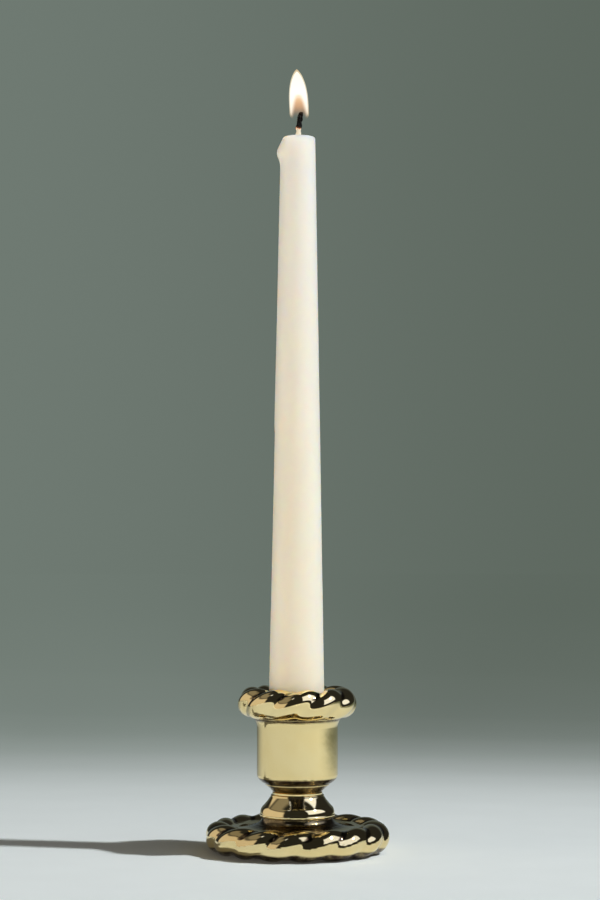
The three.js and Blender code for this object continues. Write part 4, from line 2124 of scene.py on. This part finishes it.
    def backdrop_colour(self, wiring: Wiring, source: bpy.types.NodeSocket) -> bpy.types.NodeSocket:
        """Shades the backdrop's colour from left to right.

        Args:
            wiring: The material or world that it is made in.
            source: A place or direction.

        Returns:
            The colour.
        """
        level = wiring.node("ShaderNodeVectorMath", operation="NORMALIZE")
        wiring.join(source, level.inputs[0])
        aside = wiring.split(level.outputs[0])["X"]
        share = wiring.span(aside, 0.0, 1.0, -self.backdrop_reach, self.backdrop_reach)
        return wiring.blend(share, self.backdrop_left, self.backdrop_right)

    def lay_flag(self) -> None:
        """Lays a thin dark veil just over the table behind on the left, which only the brass sees."""
        mesh = bmesh.new()
        bmesh.ops.create_grid(mesh, x_segments=1, y_segments=self.flag_steps, size=1.0)
        mark = mesh.verts.layers.float.new("cover")
        near, far = self.flag_reach
        start, end = self.flag_angles
        for vertex in mesh.verts:
            reach = (far if vertex.co.x > 0.0 else near) / METRES
            degrees = start + (end - start) * (vertex.co.y + 1.0) / 2.0
            vertex[mark] = self.flag_cover * smooth_step(*self.flag_fade, degrees)
            angle = math.radians(degrees)
            vertex.co = (reach * math.sin(angle), -reach * math.cos(angle), self.flag_height / METRES)
        flag = as_object(mesh, "flag")
        wiring = Wiring("flag_veil")
        wiring.set(Base_Color=(0.0, 0.0, 0.0, 1.0), Roughness=1.0, Specular_IOR_Level=0.0)
        wiring.feed("Alpha", wiring.attribute("cover"))
        dress(flag, wiring.material)
        flag.visible_camera = False
        flag.visible_diffuse = False
        flag.visible_shadow = False

    def hang_backdrop(self) -> None:
        """Makes the world: the backdrop for the eye, and a dark room with a pale horizon for the brass."""
        world = bpy.data.worlds.new("studio_room")
        bpy.context.scene.world = world
        world.use_nodes = True
        room = WorldWiring(world)
        direction = room.node("ShaderNodeTexCoord").outputs["Generated"]
        aside, back, up = room.split(direction)
        around = room.maths("ARCTAN2", aside, room.times(back, -1.0))
        rise = room.maths("ARCSINE", up)
        low = room.span(up, 1.0, 0.0, *self.horizon_reach)
        near_horizon = room.times(low, room.span(back, 1.0, 0.0, *self.horizon_front))
        behind = room.span(back, 0.0, 1.0, *self.back_reach)
        mirrored = room.blend(behind, self.room_front, self.room_back)
        for patch in self.patches:
            mirrored = room.blend(patch.share(room, around, rise), mirrored, patch.colour)
        mirrored = room.blend(near_horizon, mirrored, self.horizon)
        ray = room.node("ShaderNodeLightPath").outputs
        light = room.blend(ray["Is Glossy Ray"], self.fill, mirrored)
        seen = self.backdrop_colour(room, direction)
        room.join(room.blend(ray["Is Camera Ray"], light, seen), room.background.inputs["Color"])


def main() -> None:
    """Builds the studio and every piece."""
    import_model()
    bpy.context.scene.view_settings.view_transform = "Standard"
    Studio().build()
    brass = PolishedBrass().material()
    report(BaseCasting().build(brass))
    report(NeckCollar().build(brass))
    report(CandleCup().build(brass))
    report(Fasteners().build(PlatedSteel().material()))
    report(FeltPad().build(BrownFelt().material()))
    report(TaperCandle().build(IvoryWax().material()))
    report(Wick().build(CharredCotton().material()))
    for veil in Flame().build():
        report(veil)


if __name__ == "__main__":
    logging.basicConfig(level=logging.INFO, format="%(name)s: %(message)s")
    main()
